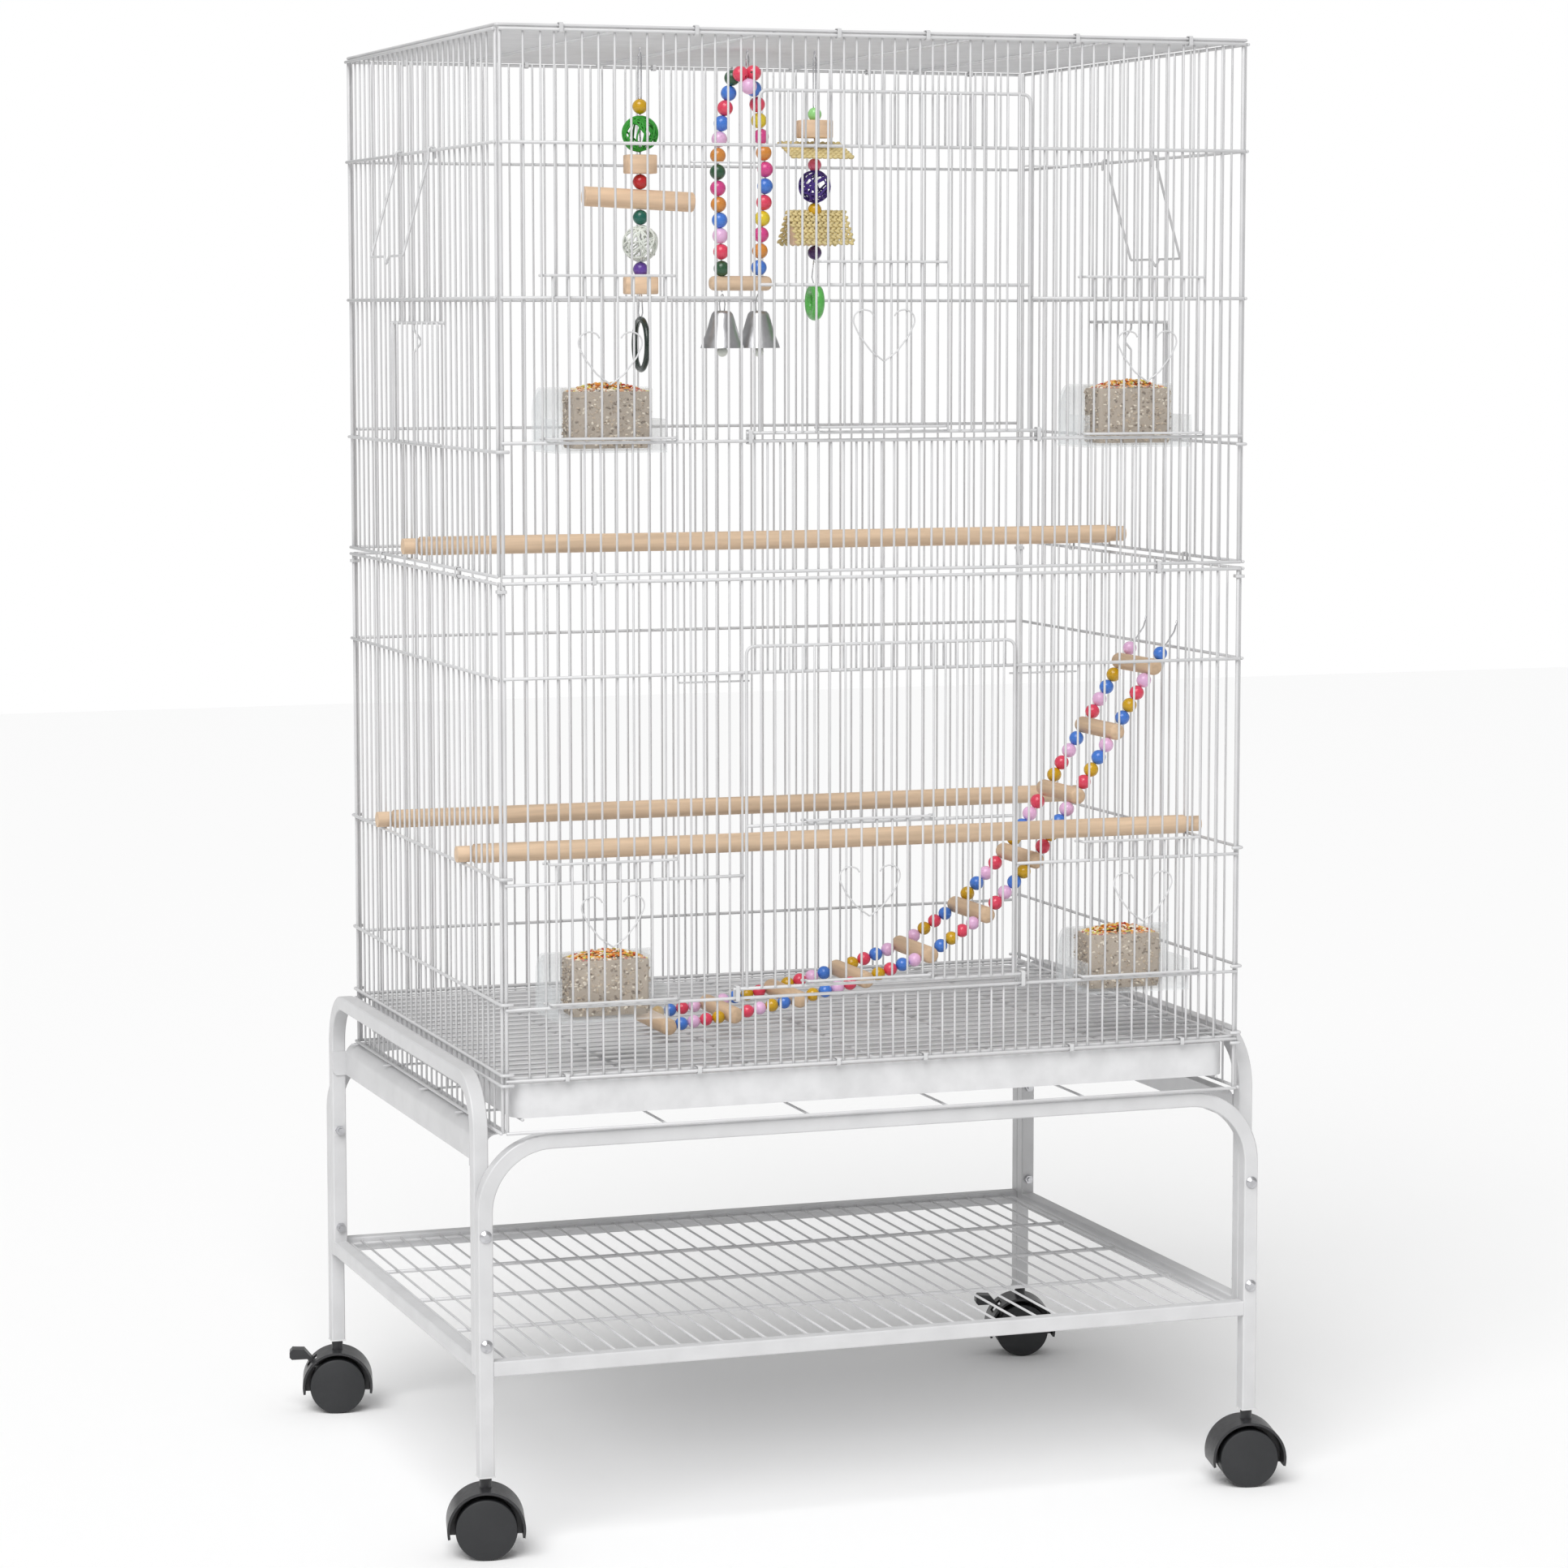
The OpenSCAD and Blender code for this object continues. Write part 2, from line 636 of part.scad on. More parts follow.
// Heart of thin wire, w wide, tip at z, its two ends curled in at the top
module heart(x, y, z, w) {
  k = w / 2;
  pts = [[0, 0], [0.42 * k, 0.3 * k], [0.8 * k, 0.78 * k], [k, 1.18 * k], [0.95 * k, 1.42 * k],
         [0.7 * k, 1.57 * k], [0.42 * k, 1.5 * k], [0.33 * k, 1.36 * k]];
  for (s = [-1, 1])
    bent([for (p = pts) [x + s * p[0], y, z + p[1]]], 1.6, 6, 0);
}

// Sliding door with guide hooks on its ends: middle x, back plane y of its uprights, bottom z0, top z1.
// The hooks at -left and +right reach in_y behind the guide wires.
module sliding_door(x, y, z0, z1, left, right, in_y, heart_z) {
  fy = y - 2.1;
  for (i = [0 : 7]) upright(x + (i - 3.5) * feeder_pitch, y, z0, z1);
  for (z = [z0, z1])
    bent([[x - left - 5, in_y, z], [x - left, in_y, z], [x - left, fy, z], [x + right, fy, z],
          [x + right, in_y, z], [x + right + 5, in_y, z]], 2.6);
  heart(x, y - 1.6, heart_z, 64);
}

module small_door(x, z0, z1, hz) {
  sliding_door(x + small_off, small_y, z0, z1, 64, 64, door_wire_y + 3.6, hz);
}

module small_door_upper() color(white) small_door(door_upper_x, 1086, 1244.5, 1149);
module small_door_lower() color(white) small_door(door_lower_x, 548, 705.5, 609);

module feeder_door(s, z, hz) {
  mirror([s < 0 ? 1 : 0, 0, 0])
    sliding_door(feeder_x, feeder_y, z[0], z[1], 64.8, 61.9, front_y + 4, hz);
}

module feeder_door_ul() color(white) feeder_door(-1, feeder_upper_z, 1128);
module feeder_door_ur() color(white) feeder_door(1, feeder_upper_z, 1128);
module feeder_door_ll() color(white) feeder_door(-1, feeder_lower_z, 590);
module feeder_door_lr() color(white) feeder_door(1, feeder_lower_z, 590);

// Side door for the right-hand side, hinged on its bottom wire
module side_door() {
  x = side_ring_x + ring_d / 2 + 0.4 + 1.3;
  h = side_door_half;
  z0 = side_door_z[0];
  z1 = side_door_z[1];
  bent([[x, mid_y - h, z0], [x, mid_y - h, z1], [x, mid_y + h, z1], [x, mid_y + h, z0]], 2.5);
  wire([x, mid_y - h - 6, z0], [x, mid_y + h + 6, z0], 2.6);
  for (i = [-4 : 4])
    if (i != 0) wire([x + 2.1, mid_y + i * 19.9, z0], [x + 2.1, mid_y + i * 19.9, z1], upright_d, 6, 30);
  crimp = [[0, z1], [0, z1 - 7], [-8.5, z1 - 19], [0, z1 - 29], [0, z0]];
  bent([for (p = crimp) [x + p[0], mid_y, p[1]]], 2.2);
}

module side_door_left() color(white) mirror([1, 0, 0]) side_door();
module side_door_right() color(white) side_door();

// Wire loop hooked over a side cross wire, for the right-hand side
module side_hanger() {
  z = side_upper_z[1];
  i = side_ring_x - 3.3;
  o = side_ring_x + 3.3;
  for (s = [-1, 1])
    bent([for (p = [[i, z - 8], [i, z + 3.3], [o, z + 3.3], [o, z - 8], [o + 27, 1252]])
          [p[0], mid_y + s * 64, p[1]]], 2.6);
  bent([for (p = [[27, -64, 1252], [27, -10, 1252], [28, 0, 1244], [27, 10, 1252], [27, 64, 1252]])
        [o + p[0], mid_y + p[1], p[2]]], 2.5);
}

module side_hanger_left() color(white) mirror([1, 0, 0]) side_hanger();
module side_hanger_right() color(white) side_hanger();

// ---------- feeders and tray ----------

module feeder_cup(x, z) {
  w = cup_size[0];
  d = cup_size[1];
  h = cup_size[2];
  t = plastic_wall;
  color([0.82, 0.8, 0.74])
    translate([x, front_y + 6.5 + d / 2, z])
      difference() {
        linear_extrude(height = h) round_rect(w, d, 6);
        translate([0, 0, t]) linear_extrude(height = h) round_rect(w - 2 * t, d - 2 * t, 6 - t);
      }
}

module feeder_cup_ul() feeder_cup(-270, cup_z[0]);
module feeder_cup_ur() feeder_cup(272, cup_z[0]);
module feeder_cup_ll() feeder_cup(-274, cup_z[1]);
module feeder_cup_lr() feeder_cup(265, cup_z[1]);

// Guard behind each cup: floor, two sides, back and arched brow
module seed_guards() {
  t = plastic_wall;
  w = 112;
  color(clear)
    for (p = [[-274, cup_z[0]], [274, cup_z[0]], [-274, cup_z[1]], [276, cup_z[1]]])
      translate([p[0], front_y + 1.2, p[1]])
        difference() {
          translate([0, 0, -t - 0.1])
            rotate([90, 0, 90])
              translate([0, 0, -w / 2])
                linear_extrude(height = w)
                  polygon(concat([[0, 0], [78, 0]],
                                 [for (a = [0 : 10 : 90]) [50 + 28 * cos(a), 34 + 28 * sin(a)]], [[0, 62]]));
          rotate([90, 0, 90])
            translate([0, 0, -w / 2 + t])
              linear_extrude(height = w - 2 * t)
                  polygon(concat([[-1, -0.1], [78 - t, -0.1]],
                                 [for (a = [0 : 10 : 90]) [50 + (28 - t) * cos(a), 32.1 + (28 - t) * sin(a)]],
                                 [[-1, 62]]));
          translate([-w / 2 - 1, -1, 30]) cube([w + 2, 51, 60]);
        }
}

module tray() {
  t = plastic_wall;
  x = 2 * 375;
  y0 = front_y + 3;
  y = back_y - 6 - y0;
  h = tray_rim_z - tray_z;
  color([0.9, 0.9, 0.89])
    translate([0, y0 + y / 2, tray_z])
      difference() {
        linear_extrude(height = h) round_rect(x, y, 18);
        translate([0, 0, t]) linear_extrude(height = h) round_rect(x - 2 * t, y - 2 * t, 18 - t);
      }
}

// ---------- swing, toys and ladder ----------

// Closed wire eye over the roof wire at mid_y, its tail ending at z
module roof_eye(x, z, d = 2) {
  g = 2.7;
  bent([[x, mid_y, z], [x, mid_y, hang_z - 7], [x, mid_y + g, hang_z - 5], [x, mid_y + g, hang_z + g],
        [x, mid_y - g, hang_z + g], [x, mid_y - g, hang_z - 5], [x, mid_y, hang_z - 7]], d);
}

// Column of touching beads from the top down, bored for its wire
module bead_column(x, z, n, step = bead_d) {
  difference() {
    union() for (i = [0 : n - 1]) translate([x, mid_y, z - i * step]) sphere(d = bead_d + 0.2, $fn = 24);
    bar([x, mid_y, z - n * step], [x, mid_y, z + step], 3.2);
  }
}

module swing_frame() {
  x = swing_x;
  w = swing_half;
  color(steel) {
    roof_eye(x, 1449);
    bent([[x - w, mid_y, swing_seat_z - 9], [x - w, mid_y, 1438], [x - 15, mid_y, 1449.5],
          [x + 15, mid_y, 1449.5], [x + w, mid_y, 1438], [x + w, mid_y, swing_seat_z - 9]], 2.4, 6, 0);
  }
}

module swing_perch() {
  color(wood)
    difference() {
      bar([swing_x - 33, mid_y, swing_seat_z], [swing_x + 33, mid_y, swing_seat_z], 15);
      for (x = [swing_x - swing_half, swing_x + swing_half])
        bar([x, mid_y, swing_seat_z - 20], [x, mid_y, swing_seat_z + 20], 3.4);
    }
}

module swing_beads() {
  color([0.8, 0.2, 0.3])
    for (s = [-1, 1])
      bead_column(swing_x + s * swing_half, 1428, 12);
}

// Sheet bell with its hanger and a clapper
module bell(x, y) {
  translate([x, y, 1160])
    difference() {
      rotate_extrude($fn = 64)
        polygon([[0, 0], [22.4, 0], [21, 4.5], [16.2, 17], [12.8, 29], [10.8, 35], [8.5, 37.5], [2.5, 38.2],
                 [2.5, 50], [1.2, 51], [1.2, 58.3], [0, 58.3]]);
      translate([0, 0, -1])
        rotate_extrude($fn = 64)
          polygon([[0, 0], [21.2, 0], [19.6, 5.5], [14.9, 18], [11.4, 30], [9.2, 35], [0, 36.2]]);
    }
  bar([x, y, 1154], [x, y, 1196], 2);
  translate([x, y, 1156.5]) sphere(d = 11, $fn = 24);
}

// The pair hangs a little turned, one bell nearer the front
module swing_bells() {
  color(steel)
    for (s = [-1, 1]) bell(swing_x + s * 21.8, mid_y + s * 6.6);
}

// Ring of round section standing on edge: outer diameter D, section d, turned about Z
module ring(x, z, D, d, turn) {
  translate([x, mid_y, z])
    rotate([0, 0, turn])
      rotate([90, 0, 90])
        rotate_extrude($fn = 48) translate([(D - d) / 2, 0]) circle(d = d, $fn = 16);
}

module toy_left() {
  x = toy_left_x;
  color(wood) {
    roof_eye(x, 1240);
    translate([x, mid_y, 1403.8]) sphere(d = bead_d, $fn = 32);
    translate([x, mid_y, 1376]) sphere(d = 38, $fn = 48);
    translate([x, mid_y, 1345.9]) cube([30, 20, 19], center = true);
    translate([x, mid_y, 1328.2]) sphere(d = bead_d, $fn = 32);
    bar([x - 60, mid_y, 1310], [x + 56, mid_y, 1310], 20);
    translate([x, mid_y, 1292]) sphere(d = bead_d, $fn = 32);
    translate([x, mid_y, 1266]) sphere(d = 38, $fn = 48);
    translate([x, mid_y, 1239.6]) sphere(d = bead_d, $fn = 32);
    translate([x, mid_y, 1223]) cube([36, 22, 17.5], center = true);
    bar([x, mid_y, 1188], [x, mid_y, 1218], 2);
    ring(x, 1164, 57, 6, -2.4);
  }
}

module toy_right() {
  x = toy_right_x;
  color(wood) {
    roof_eye(x, 1275);
    translate([x, mid_y, 1398.6]) sphere(d = 14.4, $fn = 32);
    translate([x, mid_y, 1383.6]) cube([33, 21, 18.2], center = true);
    translate([x + 1.5, mid_y, 1362.4]) rotate([20, 0, 0]) cube([70, 54, 4.4], center = true);
    translate([x, mid_y, 1347]) sphere(d = 14.4, $fn = 32);
    translate([x, mid_y, 1325]) sphere(d = 36, $fn = 48);
    translate([x, mid_y, 1301.5]) sphere(d = 14.4, $fn = 32);
    for (s = [-1, 1])
      translate([x + 1.5, mid_y + s * 15.2, 1282.4])
        rotate([-s * 50, 0, 0]) cube([66, 47, 4.4], center = true);
    translate([x - 4, mid_y, 1276]) cube([40, 20, 22], center = true);
    translate([x, mid_y, 1258]) sphere(d = 14.6, $fn = 32);
    bar([x, mid_y, 1220], [x, mid_y, 1256], 2);
    ring(x, 1207, 38.5, 12.4, -0.7);
  }
}

// The bead ladder hangs from the right side wall and runs down to the floor grate
module ladder_cords() {
  color(steel)
    for (s = [-1, 1])
      bent([for (p = concat(cord_top, rung_points)) [p[0], ladder_y + s * ladder_half, p[1]]], 1.8);
}

// Beads between two rungs, along the cord
module ladder_beads(a, b, y) {
  v = b - a;
  h = norm(v);
  n = 4;
  d = (h - 18) / n;
  translate([a[0], y, a[1]])
    rotate([0, 90 - atan2(v[1], v[0]), 0])
      difference() {
        union() for (i = [0 : n - 1]) translate([0, 0, 9 + d * (i + 0.5)]) sphere(d = d + 0.3, $fn = 24);
        translate([0, 0, -1]) cylinder(h = h + 2, d = 2.6, $fn = 24);
      }
}

module ladder_rungs() {
  line = concat([cord_top[1]], rung_points, [2 * rung_points[9] - rung_points[8]]);
  color(wood) {
    for (i = [1 : 10]) {
      p = line[i];
      run = (line[i + 1] - line[i - 1]) / norm(line[i + 1] - line[i - 1]) * 12;
      difference() {
        bar([p[0], ladder_y - 48, p[1]], [p[0], ladder_y + 48, p[1]], rung_d);
        for (y = [ladder_y - ladder_half, ladder_y + ladder_half])
          bar([p[0] - run[0], y, p[1] - run[1]], [p[0] + run[0], y, p[1] + run[1]], 4.4);
      }
    }
    for (s = [-1, 1], i = [0 : 8])
      ladder_beads(rung_points[i], rung_points[i + 1], ladder_y + s * ladder_half);
    for (s = [-1, 1])
      translate([363, ladder_y + s * ladder_half, 845.4])
        rotate([0, 35.3, 0])
          difference() {
            sphere(d = 14.4, $fn = 24);
            cylinder(h = 20, d = 2.6, center = true, $fn = 24);
          }
  }
}

// ---------- nodes ----------

front_frame();
back_frame();
side_frame_left();
side_frame_right();
ledge_left();
ledge_right();
shelf_mesh();
frame_bolts();
frame_nuts();
leg_plugs();
caster_hood_fl();
caster_hood_fr();
caster_hood_bl();
caster_hood_br();
caster_wheels_fl();
caster_wheels_fr();
caster_wheels_bl();
caster_wheels_br();
brake_lever_bl();
brake_lever_br();
front_panel_upper();
front_panel_lower();
back_panel_upper();
back_panel_lower();
side_panel_left_upper();
side_panel_left_lower();
side_panel_right_upper();
side_panel_right_lower();
top_panel();
floor_grate();
tray_rack();
panel_clips();
perches();
door_upper();
door_lower();
small_door_upper();
small_door_lower();
feeder_door_ul();
feeder_door_ur();
feeder_door_ll();
feeder_door_lr();
feeder_cup_ul();
feeder_cup_ur();
feeder_cup_ll();
feeder_cup_lr();
seed_guards();
side_door_left();
side_door_right();
side_hanger_left();
side_hanger_right();
tray();
swing_frame();
swing_perch();
swing_beads();
swing_bells();
toy_left();
toy_right();
ladder_cords();
ladder_rungs();
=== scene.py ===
"""Bird cage on a rolling stand: the visible model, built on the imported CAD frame.

Lengths below are millimetres, except for the camera, the floor and the lights, which are metres.
"""
import math
import random

import bmesh
import bpy
from mathutils import Matrix, Vector


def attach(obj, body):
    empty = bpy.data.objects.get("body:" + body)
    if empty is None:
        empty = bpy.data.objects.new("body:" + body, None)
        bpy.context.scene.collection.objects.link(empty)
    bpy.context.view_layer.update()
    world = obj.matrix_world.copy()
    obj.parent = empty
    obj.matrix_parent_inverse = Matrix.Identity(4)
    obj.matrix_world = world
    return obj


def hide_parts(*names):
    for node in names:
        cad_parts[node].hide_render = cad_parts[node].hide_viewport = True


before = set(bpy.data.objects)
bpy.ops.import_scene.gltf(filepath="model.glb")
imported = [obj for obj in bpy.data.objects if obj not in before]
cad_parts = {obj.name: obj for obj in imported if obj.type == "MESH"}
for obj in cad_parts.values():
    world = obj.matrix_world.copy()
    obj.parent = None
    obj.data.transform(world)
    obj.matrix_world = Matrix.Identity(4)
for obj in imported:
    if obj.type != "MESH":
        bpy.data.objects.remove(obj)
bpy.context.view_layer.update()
MM = 0.001
rnd = random.Random(7)

# ---------------------------------------------------------------- camera

camera = bpy.data.cameras.new("camera")
camera.lens, camera.sensor_width = 101.2, 36.0
camera.clip_end = 50
eye = bpy.data.objects.new("camera", camera)
eye.location = (-1.50525, -4.33056, 1.19048)
eye.rotation_euler = (math.pi / 2 - 0.1053, 0.0007, -0.3364)
bpy.context.scene.collection.objects.link(eye)
bpy.context.scene.camera = eye

# ---------------------------------------------------------------- materials


def linear(rgb):
    """Screen colour of 0 to 255 as a linear one of 0 to 1, with alpha."""
    steps = [c / 255 for c in rgb]
    return tuple(c / 12.92 if c <= 0.04045 else ((c + 0.055) / 1.055) ** 2.4 for c in steps) + (1,)


class Finish:
    """A Principled material in object coordinates, built up in steps."""

    def __init__(self, name, rgb, rough=0.4, metal=0.0, coat=0.0):
        self.m = bpy.data.materials.new(name)
        self.m.use_nodes = True
        self.t = self.m.node_tree
        self.p = self.t.nodes["Principled BSDF"]
        self.rgb = linear(rgb)
        self.p.inputs["Base Color"].default_value = self.rgb
        self.p.inputs["Roughness"].default_value = rough
        self.p.inputs["Metallic"].default_value = metal
        self.p.inputs["IOR"].default_value = 1.5
        self.p.inputs["Coat Weight"].default_value = coat
        self.p.inputs["Coat Roughness"].default_value = 0.15
        coord = self.t.nodes.new("ShaderNodeTexCoord")
        self.map = self.t.nodes.new("ShaderNodeMapping")
        self.t.links.new(coord.outputs["Object"], self.map.inputs["Vector"])
        self.height = None

    def noise(self, scale, detail=3.0, stretch=(1, 1, 1)):
        src = self.map
        if stretch != (1, 1, 1):
            src = self.t.nodes.new("ShaderNodeMapping")
            src.inputs["Scale"].default_value = stretch
            self.t.links.new(self.map.outputs["Vector"], src.inputs["Vector"])
        n = self.t.nodes.new("ShaderNodeTexNoise")
        n.inputs["Scale"].default_value = scale
        n.inputs["Detail"].default_value = detail
        self.t.links.new(src.outputs["Vector"], n.inputs["Vector"])
        return n.outputs["Fac"]

    def ramp(self, fac, stops):
        r = self.t.nodes.new("ShaderNodeValToRGB")
        r.color_ramp.elements[0].position, r.color_ramp.elements[0].color = stops[0]
        r.color_ramp.elements[1].position, r.color_ramp.elements[1].color = stops[-1]
        for pos, col in stops[1:-1]:
            r.color_ramp.elements.new(pos).color = col
        self.t.links.new(fac, r.inputs["Fac"])
        return r.outputs["Color"]

    def tint(self, fac, low, high, lo=0.35, hi=0.65):
        """Base colour runs from low to high, as factors on the finish's own colour."""
        a = tuple(c * low for c in self.rgb[:3]) + (1,)
        b = tuple(min(1, c * high) for c in self.rgb[:3]) + (1,)
        self.t.links.new(self.ramp(fac, [(lo, a), (hi, b)]), self.p.inputs["Base Color"])
        return self

    def gloss(self, fac, low, high):
        r = self.t.nodes.new("ShaderNodeMapRange")
        r.inputs["To Min"].default_value, r.inputs["To Max"].default_value = low, high
        self.t.links.new(fac, r.inputs["Value"])
        self.t.links.new(r.outputs["Result"], self.p.inputs["Roughness"])
        return self

    def bump(self, fac, strength, depth=0.0004):
        b = self.t.nodes.new("ShaderNodeBump")
        b.inputs["Strength"].default_value = strength
        b.inputs["Distance"].default_value = depth
        self.t.links.new(fac, b.inputs["Height"])
        if self.height:
            self.t.links.new(self.height, b.inputs["Normal"])
        self.height = b.outputs["Normal"]
        self.t.links.new(self.height, self.p.inputs["Normal"])
        return self


def powder(name, rgb):
    """Powder-coated steel: slight orange peel and patchy gloss."""
    f = Finish(name, rgb, 0.36, coat=0.12)
    f.tint(f.noise(26, 4), 0.94, 1.02).gloss(f.noise(90, 3), 0.28, 0.44)
    return f.bump(f.noise(900, 2), 0.12, 0.0002).m


def wood(name, rgb, stretch):
    """Pale turned beech; the fibres run along the direction whose stretch is small."""
    f = Finish(name, rgb, 0.55)
    grain = f.noise(130, 6, stretch)
    f.tint(grain, 0.80, 1.10, 0.3, 0.7).gloss(f.noise(60, 3, stretch), 0.45, 0.68)
    f.bump(grain, 0.25, 0.0003)
    return f.bump(f.noise(500, 3, stretch), 0.2, 0.0002).m


def plastic(name, rgb, rough=0.3, coat=0.0, peel=0.06):
    f = Finish(name, rgb, rough, coat=coat)
    f.tint(f.noise(35, 3), 0.93, 1.05).gloss(f.noise(150, 2), rough * 0.8, rough * 1.25)
    return f.bump(f.noise(700, 2), peel, 0.0002).m


def metal(name, rgb, rough=0.28):
    f = Finish(name, rgb, rough, metal=1.0)
    f.tint(f.noise(60, 5), 0.82, 1.08).gloss(f.noise(220, 4), rough * 0.7, rough * 1.5)
    return f.bump(f.noise(420, 3), 0.12, 0.0003).m


WHITE = powder("white_steel", (207, 207, 208))
ZINC = metal("zinc", (205, 205, 208), 0.3)
BRIGHT = metal("bright_wire", (215, 215, 218), 0.24)
BELL = metal("bell_metal", (196, 196, 198), 0.33)
BEECH_X = wood("beech_along_x", (220, 192, 162), (0.06, 1, 1))
BEECH_Y = wood("beech_along_y", (216, 186, 154), (1, 0.06, 1))
BLOCK = wood("block_wood", (228, 196, 164), (0.10, 1, 1))
BLACK = plastic("black_plastic", (44, 44, 46), 0.34, 0.0, 0.25)
WHEEL = plastic("wheel_plastic", (38, 39, 41), 0.5, 0.0, 0.3)
PLUG = plastic("plug_plastic", (222, 222, 222), 0.45)
TRAY = plastic("tray_plastic", (213, 213, 214), 0.4)


def clear(name, rgb, alpha, rough):
    f = Finish(name, rgb, rough)
    f.p.inputs["Alpha"].default_value = alpha
    f.tint(f.noise(40, 3), 0.94, 1.04).gloss(f.noise(80, 3), rough * 0.8, rough * 1.3)
    return f.bump(f.noise(60, 2), 0.03, 0.0004).m


CUP = clear("cup_plastic", (226, 224, 218), 0.14, 0.2)
GUARD = clear("guard_plastic", (240, 244, 246), 0.24, 0.25)

PAINT = {
    "red": (226, 66, 94), "magenta": (214, 68, 138), "blue": (66, 122, 212), "yellow": (224, 198, 40),
    "orange": (214, 138, 56), "forest": (40, 84, 54), "pink": (234, 186, 224), "gold": (206, 160, 6),
    "crimson": (186, 28, 34), "teal": (8, 96, 82), "violet": (96, 60, 152), "lime": (150, 216, 132),
    "plum": (58, 12, 88), "grass": (46, 150, 44), "ivory": (222, 226, 218), "purple": (66, 38, 128),
    "apple": (86, 176, 78), "darkring": (22, 40, 32), "rose": (214, 92, 120),
}
paint = {k: plastic("paint_" + k, v, 0.26, 0.35, 0.05) for k, v in PAINT.items()}
BEADS = list(paint)
reed = {k: plastic("reed_" + k, PAINT[k], 0.55, 0.0, 0.5) for k in ("grass", "ivory", "purple")}
STRAW = wood("straw", (214, 196, 140), (0.3, 1, 1))

# ---------------------------------------------------------------- meshes


class Shape:
    """Vertices, faces and material numbers of one piece, in millimetres."""

    def __init__(self):
        self.v, self.f, self.m = [], [], []

    def rings(self, rings, mat=0, closed=False, caps=True):
        """Skins a list of equally long rings."""
        n, at = len(rings[0]), len(self.v)
        for r in rings:
            self.v.extend(r)
        count = len(rings) if closed else len(rings) - 1
        for i in range(count):
            a, b = at + i * n, at + (i + 1) % len(rings) * n
            for k in range(n):
                self.f.append((a + k, a + (k + 1) % n, b + (k + 1) % n, b + k))
                self.m.append(mat)
        if caps and not closed:
            last = at + (len(rings) - 1) * n
            self.f.append(tuple(range(at + n - 1, at - 1, -1)))
            self.f.append(tuple(range(last, last + n)))
            self.m += [mat, mat]

    def tube(self, points, d, n=10, fillet=0.0, mat=0, closed=False, wide=None, across=None):
        """Round wire through points, with filleted corners and softened ends.

        wide makes it a strip of that width along across.
        """
        path = rounded([Vector(p) for p in points], fillet, closed)
        r = d / 2
        size = len(path)
        tangents = []
        for i in range(size):
            a = path[i - 1] if closed or i else path[0]
            b = path[(i + 1) % size] if closed or i < size - 1 else path[-1]
            tangents.append((b - a).normalized())
        up = Vector((0, 0, 1)) if abs(tangents[0].z) < 0.9 else Vector((1, 0, 0))
        u = Vector(across) if across else tangents[0].cross(up).normalized()
        frames = []
        for t in tangents:
            u = (u - t * u.dot(t)).normalized()
            frames.append((u, t.cross(u)))
        out = []

        def ring(c, fr, k):
            if wide is None:
                return [c + (fr[0] * math.cos(a) + fr[1] * math.sin(a)) * r * k
                        for a in (2 * math.pi * j / n for j in range(n))]
            w, h, e = wide / 2, r, min(wide, d) * 0.22
            flat = [(w - e, -h), (w, -h + e), (w, h - e), (w - e, h), (-w + e, h), (-w, h - e), (-w, -h + e),
                    (-w + e, -h)]
            return [c + fr[0] * x * k + fr[1] * y * k for x, y in flat]

        ends = not closed
        for i, (c, fr) in enumerate(zip(path, frames)):
            if ends and i == 0:
                for back, k in ((0.0, 0.45), (0.12, 0.78), (0.4, 1.0)):
                    out.append(ring(c + tangents[0] * r * back, fr, k))
            elif ends and i == size - 1:
                for back, k in ((0.4, 1.0), (0.12, 0.78), (0.0, 0.45)):
                    out.append(ring(c - tangents[-1] * r * back, fr, k))
            else:
                out.append(ring(c, fr, 1.0))
        self.rings(out, mat, closed)

    def lathe(self, profile, at=(0, 0, 0), axis=(0, 0, 1), n=32, mat=0, closed=False):
        """Profile of (radius, height) pairs turned about the axis; closed joins last to first."""
        turn = Vector((0, 0, 1)).rotation_difference(Vector(axis)).to_matrix()
        c = Vector(at)
        rings = []
        for r, h in profile:
            rings.append([c + turn @ Vector((r * math.cos(a), r * math.sin(a), h))
                          for a in (2 * math.pi * k / n for k in range(n))])
        self.rings(rings, mat, closed)

    def bead(self, at, d, axis=(0, 0, 1), bore=2.4, n=24, mat=0):
        """Bead with a bore along its axis."""
        r, b = d / 2, bore / 2
        lo = math.asin(b / r) + 0.04
        steps = 14
        prof = [(r * math.sin(a), -r * math.cos(a))
                for a in (lo + (math.pi - 2 * lo) * i / steps for i in range(steps + 1))]
        top = r * math.cos(math.asin(b / r)) * 0.97
        prof += [(b, top), (b, -top)]
        self.lathe(prof, at, axis, n, mat, closed=True)

    def blob(self, at, size, turn=None, n=8, m=6, mat=0):
        """Small ellipsoid of the given half sizes."""
        turn = turn or Matrix.Identity(3)
        c, rings = Vector(at), []
        for i in range(m + 1):
            a = math.pi * (i + 0.02) / (m + 0.04)
            rings.append([c + turn @ Vector((size[0] * math.sin(a) * math.cos(2 * math.pi * k / n),
                                             size[1] * math.sin(a) * math.sin(2 * math.pi * k / n),
                                             -size[2] * math.cos(a))) for k in range(n)])
        self.rings(rings, mat)

    def block(self, at, size, soft=1.2, turn=None, mat=0):
        """Box with chamfered edges."""
        turn = turn or Matrix.Identity(3)
        x, y, z = (s / 2 for s in size)
        c = Vector(at)

        def loop(k, h):
            w, d = x - k, y - k
            e = soft
            pts = [(w - e, -d), (w, -d + e), (w, d - e), (w - e, d),
                   (-w + e, d), (-w, d - e), (-w, -d + e), (-w + e, -d)]
            return [c + turn @ Vector((px, py, h)) for px, py in pts]

